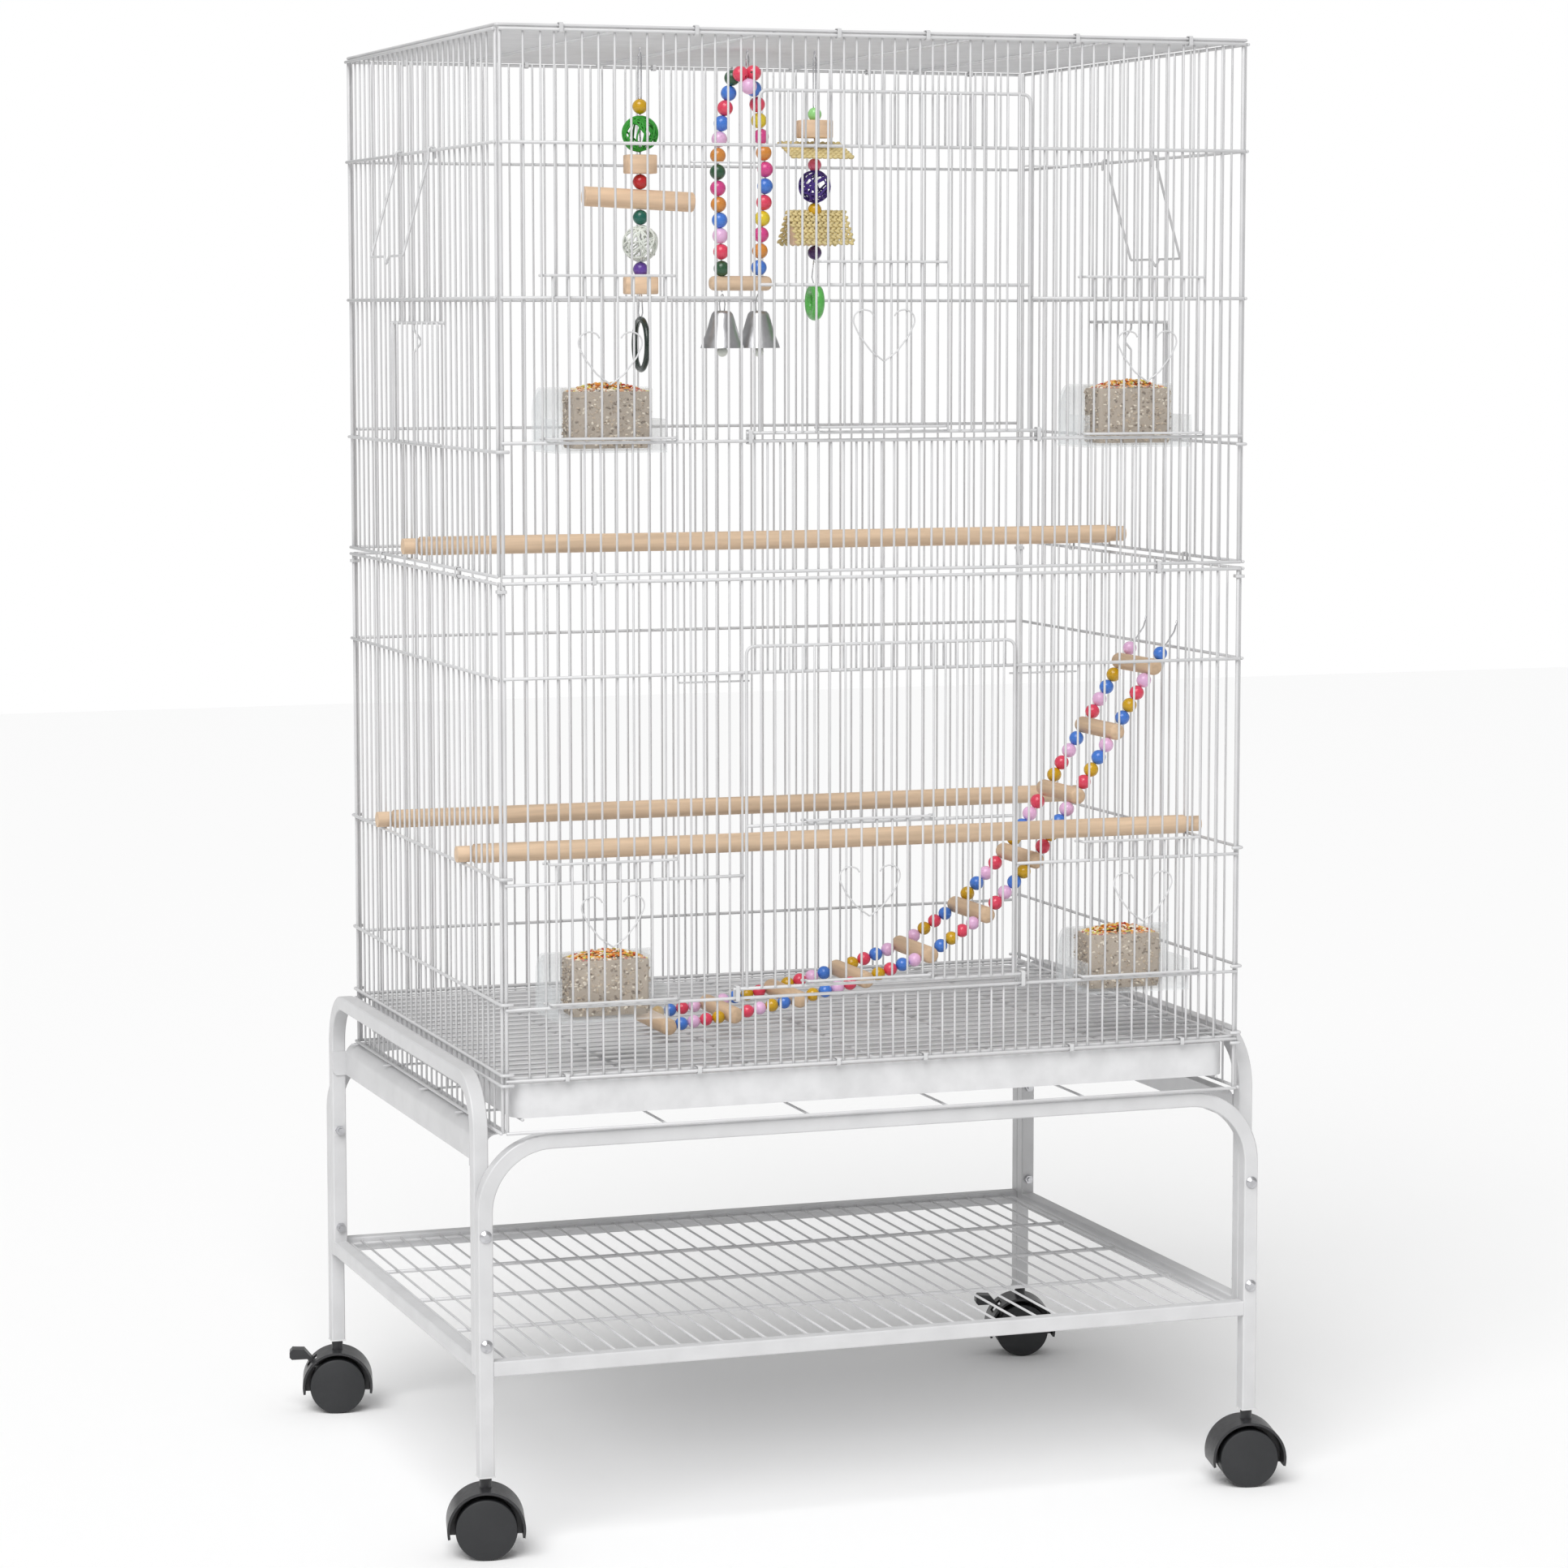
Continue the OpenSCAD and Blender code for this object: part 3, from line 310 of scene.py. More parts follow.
        self.rings([loop(soft, -z), loop(soft * 0.3, -z + soft * 0.3), loop(0, -z + soft), loop(0, z - soft),
                    loop(soft * 0.3, z - soft * 0.3), loop(soft, z)], mat)

    def build(self, name, mats, body, *nodes, angle=42):
        me = bpy.data.meshes.new(name)
        me.from_pydata([tuple(Vector(p) * MM) for p in self.v], [], self.f)
        for m in mats if isinstance(mats, (list, tuple)) else [mats]:
            me.materials.append(m)
        me.polygons.foreach_set("material_index", self.m)
        me.validate()
        bm = bmesh.new()
        bm.from_mesh(me)
        bmesh.ops.recalc_face_normals(bm, faces=bm.faces)
        bm.to_mesh(me)
        bm.free()
        me.shade_smooth()
        me.set_sharp_from_angle(angle=math.radians(angle))
        ob = bpy.data.objects.new(name, me)
        bpy.context.scene.collection.objects.link(ob)
        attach(ob, body)
        if nodes:
            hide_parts(*nodes)
        return ob


def rounded(path, fillet, closed=False, steps=5):
    """The path with each corner replaced by a short curve."""
    if fillet <= 0:
        return path
    out, n = [], len(path)
    for i, p in enumerate(path):
        if not closed and i in (0, n - 1):
            out.append(p)
            continue
        a, b = path[i - 1] - p, path[(i + 1) % n] - p
        bend = a.angle(-b, 0)
        if bend < 0.02:
            out.append(p)
            continue
        reach = min(fillet * math.tan(bend / 2), a.length * 0.48, b.length * 0.48)
        s, e = p + a.normalized() * reach, p + b.normalized() * reach
        for k in range(steps + 1):
            t = k / steps
            out.append(s * (1 - t) ** 2 + p * 2 * t * (1 - t) + e * t ** 2)
    return out


# ---------------------------------------------------------------- cage wires

MID_Y, HALF_Y = -21.8, 291.2
FRONT, BACK = -313.0, 269.4
SIDE = 385.0
UP, RING, POST = 2.2, 3.2, 3.6
OUT = UP / 2 + RING / 2 - 0.25
MIDS = [(i - 16) * 13.03 for i in range(33)]
FEED = [221 + 16 * i for i in range(7)]
ENDS = [328.5, 342, 359]
SIDE_UPS = [MID_Y + 19.9 * i for i in range(-13, 14)]
POST_X, POST_Y = 381.6, 288.0
FRONT_Z = {"upper": [1459.5, 1354.7, 1209.6, 1073.1, 947.4],
           "lower": [940.6, 850.3, 653.1, 533.3, 464.3, 413.8]}
SIDE_Z = {"upper": [1459.5, 1354.7, 1209.6, 1065.0, 947.4],
          "lower": [940.6, 850.3, 659.3, 538.7, 470.7, 460.4, 413.8]}
DOOR_X = {"upper": 12.3, "lower": -1.65}
ROOF = 1463.4


def front_panel(s, z, foot, door_x, catch_z):
    ry = FRONT - OUT
    left = max(x for x in MIDS if x < door_x - 135)
    right = min(x for x in MIDS if x > door_x + 135)
    top = z[0] + 1.5

    def up(x, a, b, d=UP):
        s.tube([(x, FRONT, a), (x, FRONT, b)], d)

    for i, h in enumerate(z):
        spans = [(-383.4, left + 1.1), (right - 1.1, 383.4)] if i == 2 else [(-383.4, 383.4)]
        for a, b in spans:
            s.tube([(a, ry, h), (b, ry, h)], RING, 12)
    for x in MIDS:
        if left < x < right:
            up(x, z[1] - 1, top)
            up(x, foot, z[3] + 1)
        else:
            up(x, foot, top)
    for sg in (-1, 1):
        for x in FEED + ENDS[:1]:
            up(sg * x, z[2] - 1, top)
            up(sg * x, foot, z[3] + 1)
        for x in ENDS[1:]:
            up(sg * x, foot, top)
        up(sg * POST_X, z[-1], top, POST)
    s.tube([(left - 64, FRONT + 1.7, catch_z), (left + 8, FRONT + 1.7, catch_z)], 1.8)
    s.tube([(right - 8, FRONT + 1.7, catch_z), (right + 64, FRONT + 1.7, catch_z)], 1.8)


def back_panel(s, z):
    for h in z:
        s.tube([(-383.4, BACK + OUT, h), (383.4, BACK + OUT, h)], RING, 12)
    for x in MIDS + [sg * x for sg in (-1, 1) for x in FEED + ENDS]:
        s.tube([(x, BACK, z[-1] - 0.6), (x, BACK, z[0] + 1.5)], UP)
    for sg in (-1, 1):
        s.tube([(sg * POST_X, BACK, z[-1] - 0.6), (sg * POST_X, BACK, z[0] + 1.5)], POST, 12)


def side_panel(s, sg, z, hooked, opening):
    rx = sg * (SIDE + OUT)
    x = sg * SIDE
    for i, h in enumerate(z):
        if hooked[i]:
            e = HALF_Y + 4.4
            turn = [(sg * 375.7, -e), (rx, -e), (rx, e), (sg * 375.7, e)]
            s.tube([(px, MID_Y + dy, h) for px, dy in turn], RING, 12, 3.6)
        else:
            s.tube([(rx, MID_Y - HALF_Y, h), (rx, MID_Y + HALF_Y, h)], RING, 12)
    foot, top = z[-1] - 0.6, z[0] + 1.5
    for y in SIDE_UPS:
        if opening and abs(y - MID_Y) < 89.55:
            s.tube([(x, y, 1185.4), (x, y, top)], UP)
            s.tube([(x, y, foot), (x, y, z[3] + 0.6)], UP)
        else:
            s.tube([(x, y, foot), (x, y, top)], UP)
    for e in (-1, 1):
        s.tube([(x, MID_Y + e * POST_Y, foot), (x, MID_Y + e * POST_Y, top)], POST, 12)
    if opening:
        s.tube([(rx, MID_Y - 101.5, 1186), (rx, MID_Y + 101.5, 1186)], RING, 12)


for level, foot, catch in (("upper", 946.2, 1338), ("lower", 463.0, 842)):
    s = Shape()
    front_panel(s, FRONT_Z[level], foot, DOOR_X[level], catch)
    s.build("front_wires_" + level, WHITE, "root", "front_panel_" + level)
    s = Shape()
    back_panel(s, FRONT_Z[level])
    s.build("back_wires_" + level, WHITE, "root", "back_panel_" + level)
    hooks = [0, 0, 0, 1, 0] if level == "upper" else [0, 0, 1, 1, 1, 1, 0]
    for side, sg in (("left", -1), ("right", 1)):
        s = Shape()
        side_panel(s, sg, SIDE_Z[level], hooks, level == "upper")
        s.build("side_wires_%s_%s" % (side, level), WHITE, "root", "side_panel_%s_%s" % (side, level))

s = Shape()
edge = [(SIDE, FRONT, ROOF), (SIDE, BACK, ROOF), (-SIDE, BACK, ROOF), (-SIDE, FRONT, ROOF)]
s.tube(edge, RING, 12, 2.2, closed=True)
for i in range(1, 44):
    y = FRONT + i * 2 * HALF_Y / 44
    s.tube([(-SIDE, y, ROOF), (SIDE, y, ROOF)], UP)
for x in (-256, -110, 110, 256):
    s.tube([(x, FRONT + 0.5, ROOF - 2.6), (x, BACK - 0.5, ROOF - 2.6)], RING, 12)
s.build("roof_wires", WHITE, "root", "top_panel")

s = Shape()
gy0, gy1, gx = -309.5, 265.9, 381.4
s.tube([(gx, gy0, 466), (gx, gy1, 466), (-gx, gy1, 466), (-gx, gy0, 466)], RING, 12, 2.2, closed=True)
for i in range(1, 22):
    y = gy0 + i * (gy1 - gy0) / 22
    s.tube([(-gx, y, 466), (gx, y, 466)], 2.5)
for x in (-254, -127, 0, 127, 254):
    s.tube([(x, gy0 - 0.5, 463.2), (x, gy1 + 0.5, 463.2)], RING, 12)
s.build("floor_grate_wires", WHITE, "root", "floor_grate")

s = Shape()
for y in (-170, -30, 120, 262):
    s.tube([(-395, y, 410.8), (395, y, 410.8)], 2.5)
    for sg in (-1, 1):
        s.tube([(sg * 365, y, 410.8), (sg * 365, y, 425.2)], 2.5)
for x in (-220, -73, 73, 220):
    s.tube([(x, -312, 413), (x, 266.4, 413)], 2.5)
for sg in (-1, 1):
    s.tube([(sg * 365, -309, 425.3), (sg * 365, 265.4, 425.3)], 3.2, 12)
s.build("tray_rack_wires", WHITE, "root", "tray_rack")

s = Shape()
for y in (-143, 0.8, 144):
    s.tube([(-392, y, 184.7), (392, y, 184.7)], 4, 12)
for i in range(-17, 18):
    s.tube([(i * 22.2, -295.4, 187.7), (i * 22.2, 295.4, 187.7)], 2.5)
edge = [(390, -293.4, 185.6), (390, 293.4, 185.6), (-390, 293.4, 185.6), (-390, -293.4, 185.6)]
s.tube(edge, 3, 12, 3, closed=True)
s.build("shelf_wires", WHITE, "root", "shelf_mesh")

# ---------------------------------------------------------------- doors

RING_Y = FRONT - UP / 2 - RING / 2 - 0.02
DOOR_Y = RING_Y - RING - 0.3
DOOR_WIRE_Y = DOOR_Y - OUT
SMALL_Y = DOOR_Y - UP / 2 - RING / 2 - 0.02 + 0.32 - UP - 0.4
FEEDER_Y = RING_Y - RING / 2 - UP / 2 - 0.4
DOOR_Z = {"upper": (1081, 1222.3, 1406.6), "lower": (543, 701.5, 875.8)}
SMALL_Z = {"upper": (1086, 1244.5, 1149), "lower": (548, 705.5, 609)}
FEEDER_Z = {"u": (1077, 1230.6, 1128), "l": (537, 672.3, 590)}
HEART = [(0, 0), (0.42, 0.3), (0.8, 0.78), (1, 1.18), (0.95, 1.42), (0.7, 1.57), (0.42, 1.5), (0.33, 1.36)]


def heart(s, x, y, z, k=32):
    for sg in (-1, 1):
        s.tube([(x + sg * p[0] * k, y, z + p[1] * k) for p in HEART], 1.6, 8, 14)


def sliding(s, x, y, z0, z1, left, right, back, heart_z):
    for i in range(8):
        s.tube([(x + (i - 3.5) * 16, y, z0), (x + (i - 3.5) * 16, y, z1)], UP)
    fy = y - 1.9
    for z in (z0, z1):
        s.tube([(x - left - 5, back, z), (x - left, back, z), (x - left, fy, z), (x + right, fy, z),
                (x + right, back, z), (x + right + 5, back, z)], 2.6, 10, 2.4)
    heart(s, x, y - 1.6, heart_z)


for level in ("upper", "lower"):
    x, (z0, zm, z1) = DOOR_X[level], DOOR_Z[level]
    h, sx = 139.5, DOOR_X[level] - 14.7
    s = Shape()
    s.tube([(x - h, DOOR_Y, z0), (x - h, DOOR_Y, z1), (x + h, DOOR_Y, z1), (x + h, DOOR_Y, z0)], RING, 12, 9)
    s.tube([(x - h - 14, DOOR_Y, z0), (x + h + 14, DOOR_Y, z0)], RING, 12)
    s.tube([(x - h, DOOR_Y, zm), (x + h, DOOR_Y, zm)], RING, 12)
    wires = [(x - h + i * (h - 14.7 - 68) / 4, z0) for i in range(1, 5)]
    wires += [(sx + 68 + i * (h + 14.7 - 68) / 7, z0) for i in range(7)]
    wires += [(sx + (i - 3.5) * 16, zm) for i in range(8)]
    for wx, wz in wires:
        s.tube([(wx, DOOR_WIRE_Y, wz), (wx, DOOR_WIRE_Y, z1)], UP)
    s.build("large_door_" + level, WHITE, "door_" + level, "door_" + level)
    s = Shape()
    a, b, tip = SMALL_Z[level]
    sliding(s, sx, SMALL_Y, a, b, 64, 64, SMALL_Y + UP + 4.0, tip)
    s.build("small_door_" + level + "_wires", WHITE, "small_door_" + level, "small_door_" + level)

for key in ("ul", "ur", "ll", "lr"):
    a, b, tip = FEEDER_Z[key[0]]
    s = Shape()
    if key[1] == "l":
        sliding(s, -277, FEEDER_Y, a, b, 61.9, 64.8, FRONT + 4, tip)
    else:
        sliding(s, 277, FEEDER_Y, a, b, 64.8, 61.9, FRONT + 4, tip)
    s.build("feeder_door_" + key + "_wires", WHITE, "feeder_door_" + key, "feeder_door_" + key)

for side, sg in (("left", -1), ("right", 1)):
    x = sg * 391.02
    s = Shape()
    foot, head = 1066.8, 1186
    rim = [(-92, foot), (-92, head), (92, head), (92, foot)]
    s.tube([(x, MID_Y + dy, z) for dy, z in rim], 2.6, 10, 5)
    s.tube([(x, MID_Y - 98, foot), (x, MID_Y + 98, foot)], 2.6)
    for i in range(-4, 5):
        if i:
            s.tube([(x + sg * 2, MID_Y + i * 19.9, 1066), (x + sg * 2, MID_Y + i * 19.9, 1187)], UP)
    catch = [(0, head), (0, 1179), (-8.5, 1167), (0, 1157), (0, foot)]
    s.tube([(x + sg * p[0], MID_Y, p[1]) for p in catch], UP, 10, 4)
    s.build("side_door_" + side + "_wires", WHITE, "side_door_" + side, "side_door_" + side)
    s = Shape()
    i, o = sg * 384.42, sg * 391.02
    ring = [(i, 0, 1346.7), (i, 0, 1358), (o, 0, 1358), (o, 0, 1346.7), (o + sg * 27, 0, 1252)]
    dip = [(o + sg * 27, MID_Y - 10, 1252), (o + sg * 28, MID_Y, 1244), (o + sg * 27, MID_Y + 10, 1252)]
    path = [(p[0], MID_Y - 64, p[2]) for p in ring] + dip + [(p[0], MID_Y + 64, p[2]) for p in reversed(ring)]
    s.tube(path, 2.6, 10, 3.2)
    s.build("side_hanger_" + side + "_wire", WHITE, "side_hanger_" + side, "side_hanger_" + side)

# ---------------------------------------------------------------- clips

s = Shape()


def hog(points, wide, across):
    s.tube(points, 1.0, 8, 1.6, closed=True, wide=wide, across=across)


def clip_x(x, y0, y1, z0, z1):
    t = 0.5
    hog([(x, y0 - t, z0 - t), (x, y1 + t, z0 - t), (x, y1 + t, z1 + t), (x, y0 - t, z1 + t)], 4, (1, 0, 0))


def clip_y(y, x0, x1, z0, z1):
    t = 0.5
    hog([(x0 - t, y, z0 - t), (x1 + t, y, z0 - t), (x1 + t, y, z1 + t), (x0 - t, y, z1 + t)], 4, (0, 1, 0))


for x in (-322.75, -188.95, -45.6, 45.6, 201.98, 322.75):
    clip_x(x, RING_Y - 2, FRONT + 2, 1457.5, 1465.4)
    clip_x(x, BACK - 2, 274.1, 1457.5, 1465.4)
    clip_x(x, RING_Y - 2, FRONT + 5.4, 462.3, 468)
for x in (-293, 293):
    clip_x(x, RING_Y - 2, RING_Y + 2, 938.6, 949.4)
    clip_x(x, 270.1, 274.1, 938.6, 949.4)
for sg in (-1, 1):
    for y in (MID_Y - 149.25, MID_Y + 149.25):
        clip_y(y, sg * 387.72 - 2, sg * 387.72 + 2, 938.6, 949.4)
for level, a, b in (("upper", 1071.1, 1083.2), ("lower", 531.3, 545.2)):
    for sg in (-1, 1):
        clip_x(DOOR_X[level] + sg * 149.5, DOOR_Y - 2, RING_Y + 2, a, b)
for sg in (-1, 1):
    for t in (-1, 1):
        cx, cy = sg * 383.3, MID_Y + t * 289.6
        around = [(-4.3, -4.1), (4.3, -4.1), (4.3, 4.1), (-4.3, 4.1)]
        hog([(cx + dx, cy + dy, 933) for dx, dy in around], 3, (0, 0, 1))
s.build("panel_clip_rings", WHITE, "root", "panel_clips")

# ---------------------------------------------------------------- stand, casters and carried-over parts


def refinish(name, mat):
    """Gives a CAD node that is shown as it is another material."""
    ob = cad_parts[name]
    ob.data.materials.clear()
    ob.data.materials.append(mat)


for name in ("front_frame", "back_frame", "side_frame_left", "side_frame_right", "ledge_left", "ledge_right"):
    refinish(name, WHITE)
for name in ("frame_bolts", "frame_nuts"):
    refinish(name, ZINC)
refinish("leg_plugs", PLUG)
refinish("tray", TRAY)
refinish("seed_guards", GUARD)
refinish("perches", BEECH_X)
for k in ("fl", "fr", "bl", "br"):
    refinish("caster_hood_" + k, BLACK)
    body = "wheels_" + k
    cx = -403.7 if k[1] == "l" else 403.7
    cy = -304.9 if k[0] == "f" else 304.9
    axle = Vector((math.sin(math.radians(13.5)), math.cos(math.radians(13.5)), 0))
    s = Shape()
    for sg in (-1, 1):
        half = [(30, 6.9), (29.5, 8), (28.4, 8.5), (0.5, 8.5)]
        disc = [(q, -h) for q, h in reversed(half)] + half
        s.lathe(disc, Vector((cx, cy, 30)) + axle * (12.6 * sg), axle, 64)
    s.lathe([(0.5, -10), (2.6, -10), (3, -9.6), (3, 9.6), (2.6, 10), (0.5, 10)], (cx, cy, 30), axle, 24)
    s.build("wheel_pair_" + k, WHEEL, body, "caster_wheels_" + k, angle=30)
for k in ("bl", "br"):
    refinish("brake_lever_" + k, BLACK)

# ---------------------------------------------------------------- seed cups

SEED_COLOURS = [(226, 138, 60), (240, 226, 196), (190, 58, 40), (236, 160, 62), (214, 176, 128),
                (246, 238, 222), (216, 204, 96)]
SEEDS = [plastic("seed_%d" % i, c, 0.5, 0.0, 0.4) for i, c in enumerate(SEED_COLOURS)]
MEAL = [plastic("meal_%d" % i, c, 0.6, 0.0, 0.4) for i, c in enumerate(
    [(172, 156, 138), (222, 212, 196), (120, 104, 88), (188, 170, 148)])]
W, D, H, T = 82.0, 44.0, 59.0, 1.8
# Sections of the cup from its foot round to its inside, and of the seed in it: inset, corner radius and height
SHELL = [(5, 4, 0.02), (1.6, 5.5, 1.2), (0.6, 6, 4), (0, 6, H - 4.2), (0, 6, H - 0.7), (1.2, 5.6, H),
         (2.9, 4.6, H - 0.2), (2 * T, 4.2, H - 1.6), (2 * T + 0.8, 4, 5), (2 * T + 3, 3.4, T)]
BED = [(2 * T + 3.6, 3, T + 0.4), (2 * T + 1.4, 3.6, 6), (2 * T + 0.6, 3.8, 54), (2 * T + 2, 3.4, 56)]


def loop(w, d, r, z, c, n=6):
    """Rounded rectangle of w by d about c, at height z."""
    pts = []
    for qx, qy, a0 in ((1, 1, 0), (-1, 1, 90), (-1, -1, 180), (1, -1, 270)):
        for k in range(n + 1):
            a = math.radians(a0 + 90 * k / n)
            x = c[0] + qx * (w / 2 - r) + r * math.cos(a)
            pts.append(Vector((x, c[1] + qy * (d / 2 - r) + r * math.sin(a), z)))
    return pts


for key, cx, cz in (("ul", -270, 1065), ("ur", 272, 1065), ("ll", -274, 519), ("lr", 265, 519)):
    c = (cx, FRONT + 6.5 + D / 2)
    s = Shape()
    out = [loop(W - cut, D - cut, corner, cz + z, c) for cut, corner, z in SHELL]
    s.rings(out)
    s.build("cup_" + key + "_shell", CUP, "feeder_cup_" + key, "feeder_cup_" + key)
    heap, meal = Shape(), Shape()
    for _ in range(640):
        x, y = rnd.uniform(-36.5, 36.5), rnd.uniform(-17.5, 17.5)
        crown = 56 + 9 * (1 - (x / 38) ** 2) * (1 - (y / 20) ** 2)
        turn = Matrix.Rotation(rnd.uniform(0, 6.28), 3, "Z") @ Matrix.Rotation(rnd.uniform(-0.6, 0.6), 3, "X")
        at = (c[0] + x, c[1] + y, cz + crown - rnd.uniform(0, 4))
        size = (rnd.uniform(1.8, 3.1), rnd.uniform(0.9, 1.4), rnd.uniform(0.8, 1.2))
        heap.blob(at, size, turn, 6, 4, rnd.randrange(len(SEEDS)))
    heap.build("seeds_" + key, SEEDS, "feeder_cup_" + key)
    bed = [loop(W - cut, D - cut, corner, cz + z, c) for cut, corner, z in BED]
    meal.rings(bed, 0)
    for _ in range(700):
        side = rnd.random()
        if side < 0.66:
            x, y = rnd.uniform(-36, 36), rnd.choice((-1, 1)) * 19.4
        else:
            x, y = rnd.choice((-1, 1)) * 38.4, rnd.uniform(-17, 17)
        turn = Matrix.Rotation(rnd.uniform(0, 6.28), 3, "X") @ Matrix.Rotation(rnd.uniform(0, 6.28), 3, "Z")
        at = (c[0] + x, c[1] + y, cz + rnd.uniform(4, 54))
        meal.blob(at, (2.3, 1.3, 1.0), turn, 6, 4, rnd.randrange(len(MEAL)))
    meal.build("seed_bed_" + key, MEAL, "feeder_cup_" + key)

# ---------------------------------------------------------------- swing


def eye_wire(s, x, z):
    """Two thin wires up to an eye over the roof wire."""
    up = [(1.4, 0, z), (1.8, 1, ROOF - 9), (0.6, 2.9, ROOF - 3), (0, 2.4, ROOF + 2.3)]
    down = [(x + dx, MID_Y + dy, h) for dx, dy, h in reversed(up)]
    s.tube([(x - dx, MID_Y - dy, h) for dx, dy, h in up] + down, 1.6, 8, 3)


SWING_X, SEAT = -46.0, 1226.0
# Bead centres up the swing's two sides, from the middle of the swing: x, y and height
LEFT = [(-20.2, 0, 1241), (-20.6, 0, 1258), (-21.6, 0, 1274.2), (-22.2, 0, 1290), (-23.4, 0, 1306),
        (-24, 0, 1322.4), (-24.2, 0, 1338.8), (-23.9, 0, 1355.4), (-22.3, 0, 1372), (-19.8, 0, 1388),
        (-16, 0, 1403.6), (-12.2, 0, 1418.6), (-9.4, -3, 1434.0), (-4.8, -16, 1437.4), (2.2, -22, 1424.6),
        (9.6, -14, 1438.6)]
RIGHT = [(20.2, 0, 1242), (21.4, 0, 1259), (22.4, 0, 1275.6), (23.8, 0, 1292), (25.8, 0, 1308.4),
         (27.0, 0, 1325), (27.2, 0, 1342), (25.6, 0, 1358.8), (22.6, 0, 1375.2), (20.4, 0, 1391.4),
         (18.6, 0, 1407.8), (13.4, -4, 1423.4)]
LEFT_PAINT = ["forest", "red", "pink", "blue", "orange", "magenta", "forest", "orange", "pink", "blue", "red",
              "blue", "forest", "red", "pink", "red"]
RIGHT_PAINT = ["blue", "orange", "magenta", "yellow", "red", "blue", "magenta", "orange", "magenta", "yellow",
               "red", "blue"]


def strand(s, centres, colours, d):
    """Beads along a wire, each square to the line through its neighbours."""
    for i, c in enumerate(centres):
        a, b = Vector(centres[max(i - 1, 0)]), Vector(centres[min(i + 1, len(centres) - 1)])
        s.bead(c, d, (b - a).normalized(), mat=BEADS.index(colours[i]))


arch = [(SWING_X + x, MID_Y + y, z) for x, y, z in LEFT + RIGHT[::-1]]
s = Shape()
strand(s, arch, LEFT_PAINT + RIGHT_PAINT[::-1], 16.2)
s.build("swing_bead_strand", [paint[k] for k in BEADS], "swing", "swing_beads")
s = Shape()
s.tube([(SWING_X - 20, MID_Y, 1217)] + arch + [(SWING_X + 20, MID_Y, 1217)], 2.0, 8, 10)
eye_wire(s, SWING_X + 8, 1446)
s.build("swing_wire", BRIGHT, "swing", "swing_frame")
s = Shape()
s.lathe([(2, -33), (5.4, -32.4), (6.9, -30.6), (7.5, -28), (7.5, 28), (6.9, 30.6), (5.4, 32.4), (2, 33)],
        (SWING_X, MID_Y, SEAT), (1, 0, 0), 32)
s.build("swing_perch_bar", BEECH_X, "swing", "swing_perch")

s = Shape()
for sg in (-1, 1):
    x, y = SWING_X + sg * 21.8, MID_Y + sg * 6.6
    outer = [(22.4, 0), (21, 4.5), (18.6, 10.6), (16.2, 17), (14.4, 23), (12.8, 29), (10.8, 35), (8.5, 37.5),
             (2.5, 38.2)]
    inner = [(2.5, 36.4), (8, 36), (9.4, 34.4), (11.5, 29), (13.2, 23), (15, 17), (17.4, 10.8), (19.8, 5),
             (21.4, 0.4)]
    s.lathe(outer + inner, (x, y, 1160), n=48, closed=True)
    hook = [(-2.2, 1197), (-3, 1205), (0, 1218.2), (3, 1205), (2.2, 1197)]
    s.tube([(x + dx, y, z) for dx, z in hook], 1.3, 8, 4)
    s.tube([(x, y, 1156), (x, y, 1197)], 1.4, 8)
    s.bead((x, y, 1156.5), 11, bore=1.5, mat=1)
s.build("swing_bell_pair", [BELL, paint["ivory"]], "swing", "swing_bells", angle=50)

# ---------------------------------------------------------------- hanging toys


def reed_ball(name, at, r, mat, body, d, strands, seed):
    """Ball of reed loops, each a slightly wavy circle on the sphere."""
    rg = random.Random(seed)
    s = Shape()
    for _ in range(strands):
        n = Vector((rg.gauss(0, 1), rg.gauss(0, 1), rg.gauss(0, 1))).normalized()
        u = n.orthogonal().normalized()
        w = n.cross(u)
        off = rg.uniform(-0.55, 0.55)
        k, ph, amp = rg.randint(2, 4), rg.uniform(0, 6.28), rg.uniform(0.02, 0.06)
        deep = rg.uniform(0.93, 1.0) * (r - d / 2)
        pts = []
        for i in range(40):
            a = 2 * math.pi * i / 40
            o = off + amp * math.sin(k * a + ph)
            p = (u * math.cos(a) + w * math.sin(a)) * math.sqrt(1 - o * o) + n * o
            pts.append(Vector(at) + p * deep)
        s.tube(pts, d * rg.uniform(0.75, 1.1), 6, closed=True)
    return s.build(name, mat, body, angle=80)


def mat_sheet(s, at, size, turn, rows, lobes):
    """Plaited straw mat: rows of overlapping slanted lobes."""
    w, d = size
    c = Vector(at)
    pitch, step = d / rows, w / lobes
    for j in range(rows):
        for i in range(lobes):
            for side in (-1, 1):
                px = -w / 2 + (i + 0.5 + 0.22 * side) * step
                py = -d / 2 + (j + 0.5) * pitch + side * pitch * 0.22
                lean = Matrix.Rotation(side * 0.72, 3, "Z") @ Matrix.Rotation(side * 0.16, 3, "Y")
                s.blob(c + turn @ Vector((px, py, 0)), (step * 0.62, pitch * 0.27, 1.7), turn @ lean)


def hoop(at, r, d, turn):
    """Upright ring across the cage, turned by so many degrees towards X."""
    t = math.radians(turn)
    flat = Vector((math.sin(t), math.cos(t), 0))
    s = Shape()
    s.tube([Vector(at) + flat * r * math.cos(a) + Vector((0, 0, r * math.sin(a)))
            for a in (2 * math.pi * i / 64 for i in range(64))], d, 18, closed=True)
    return s


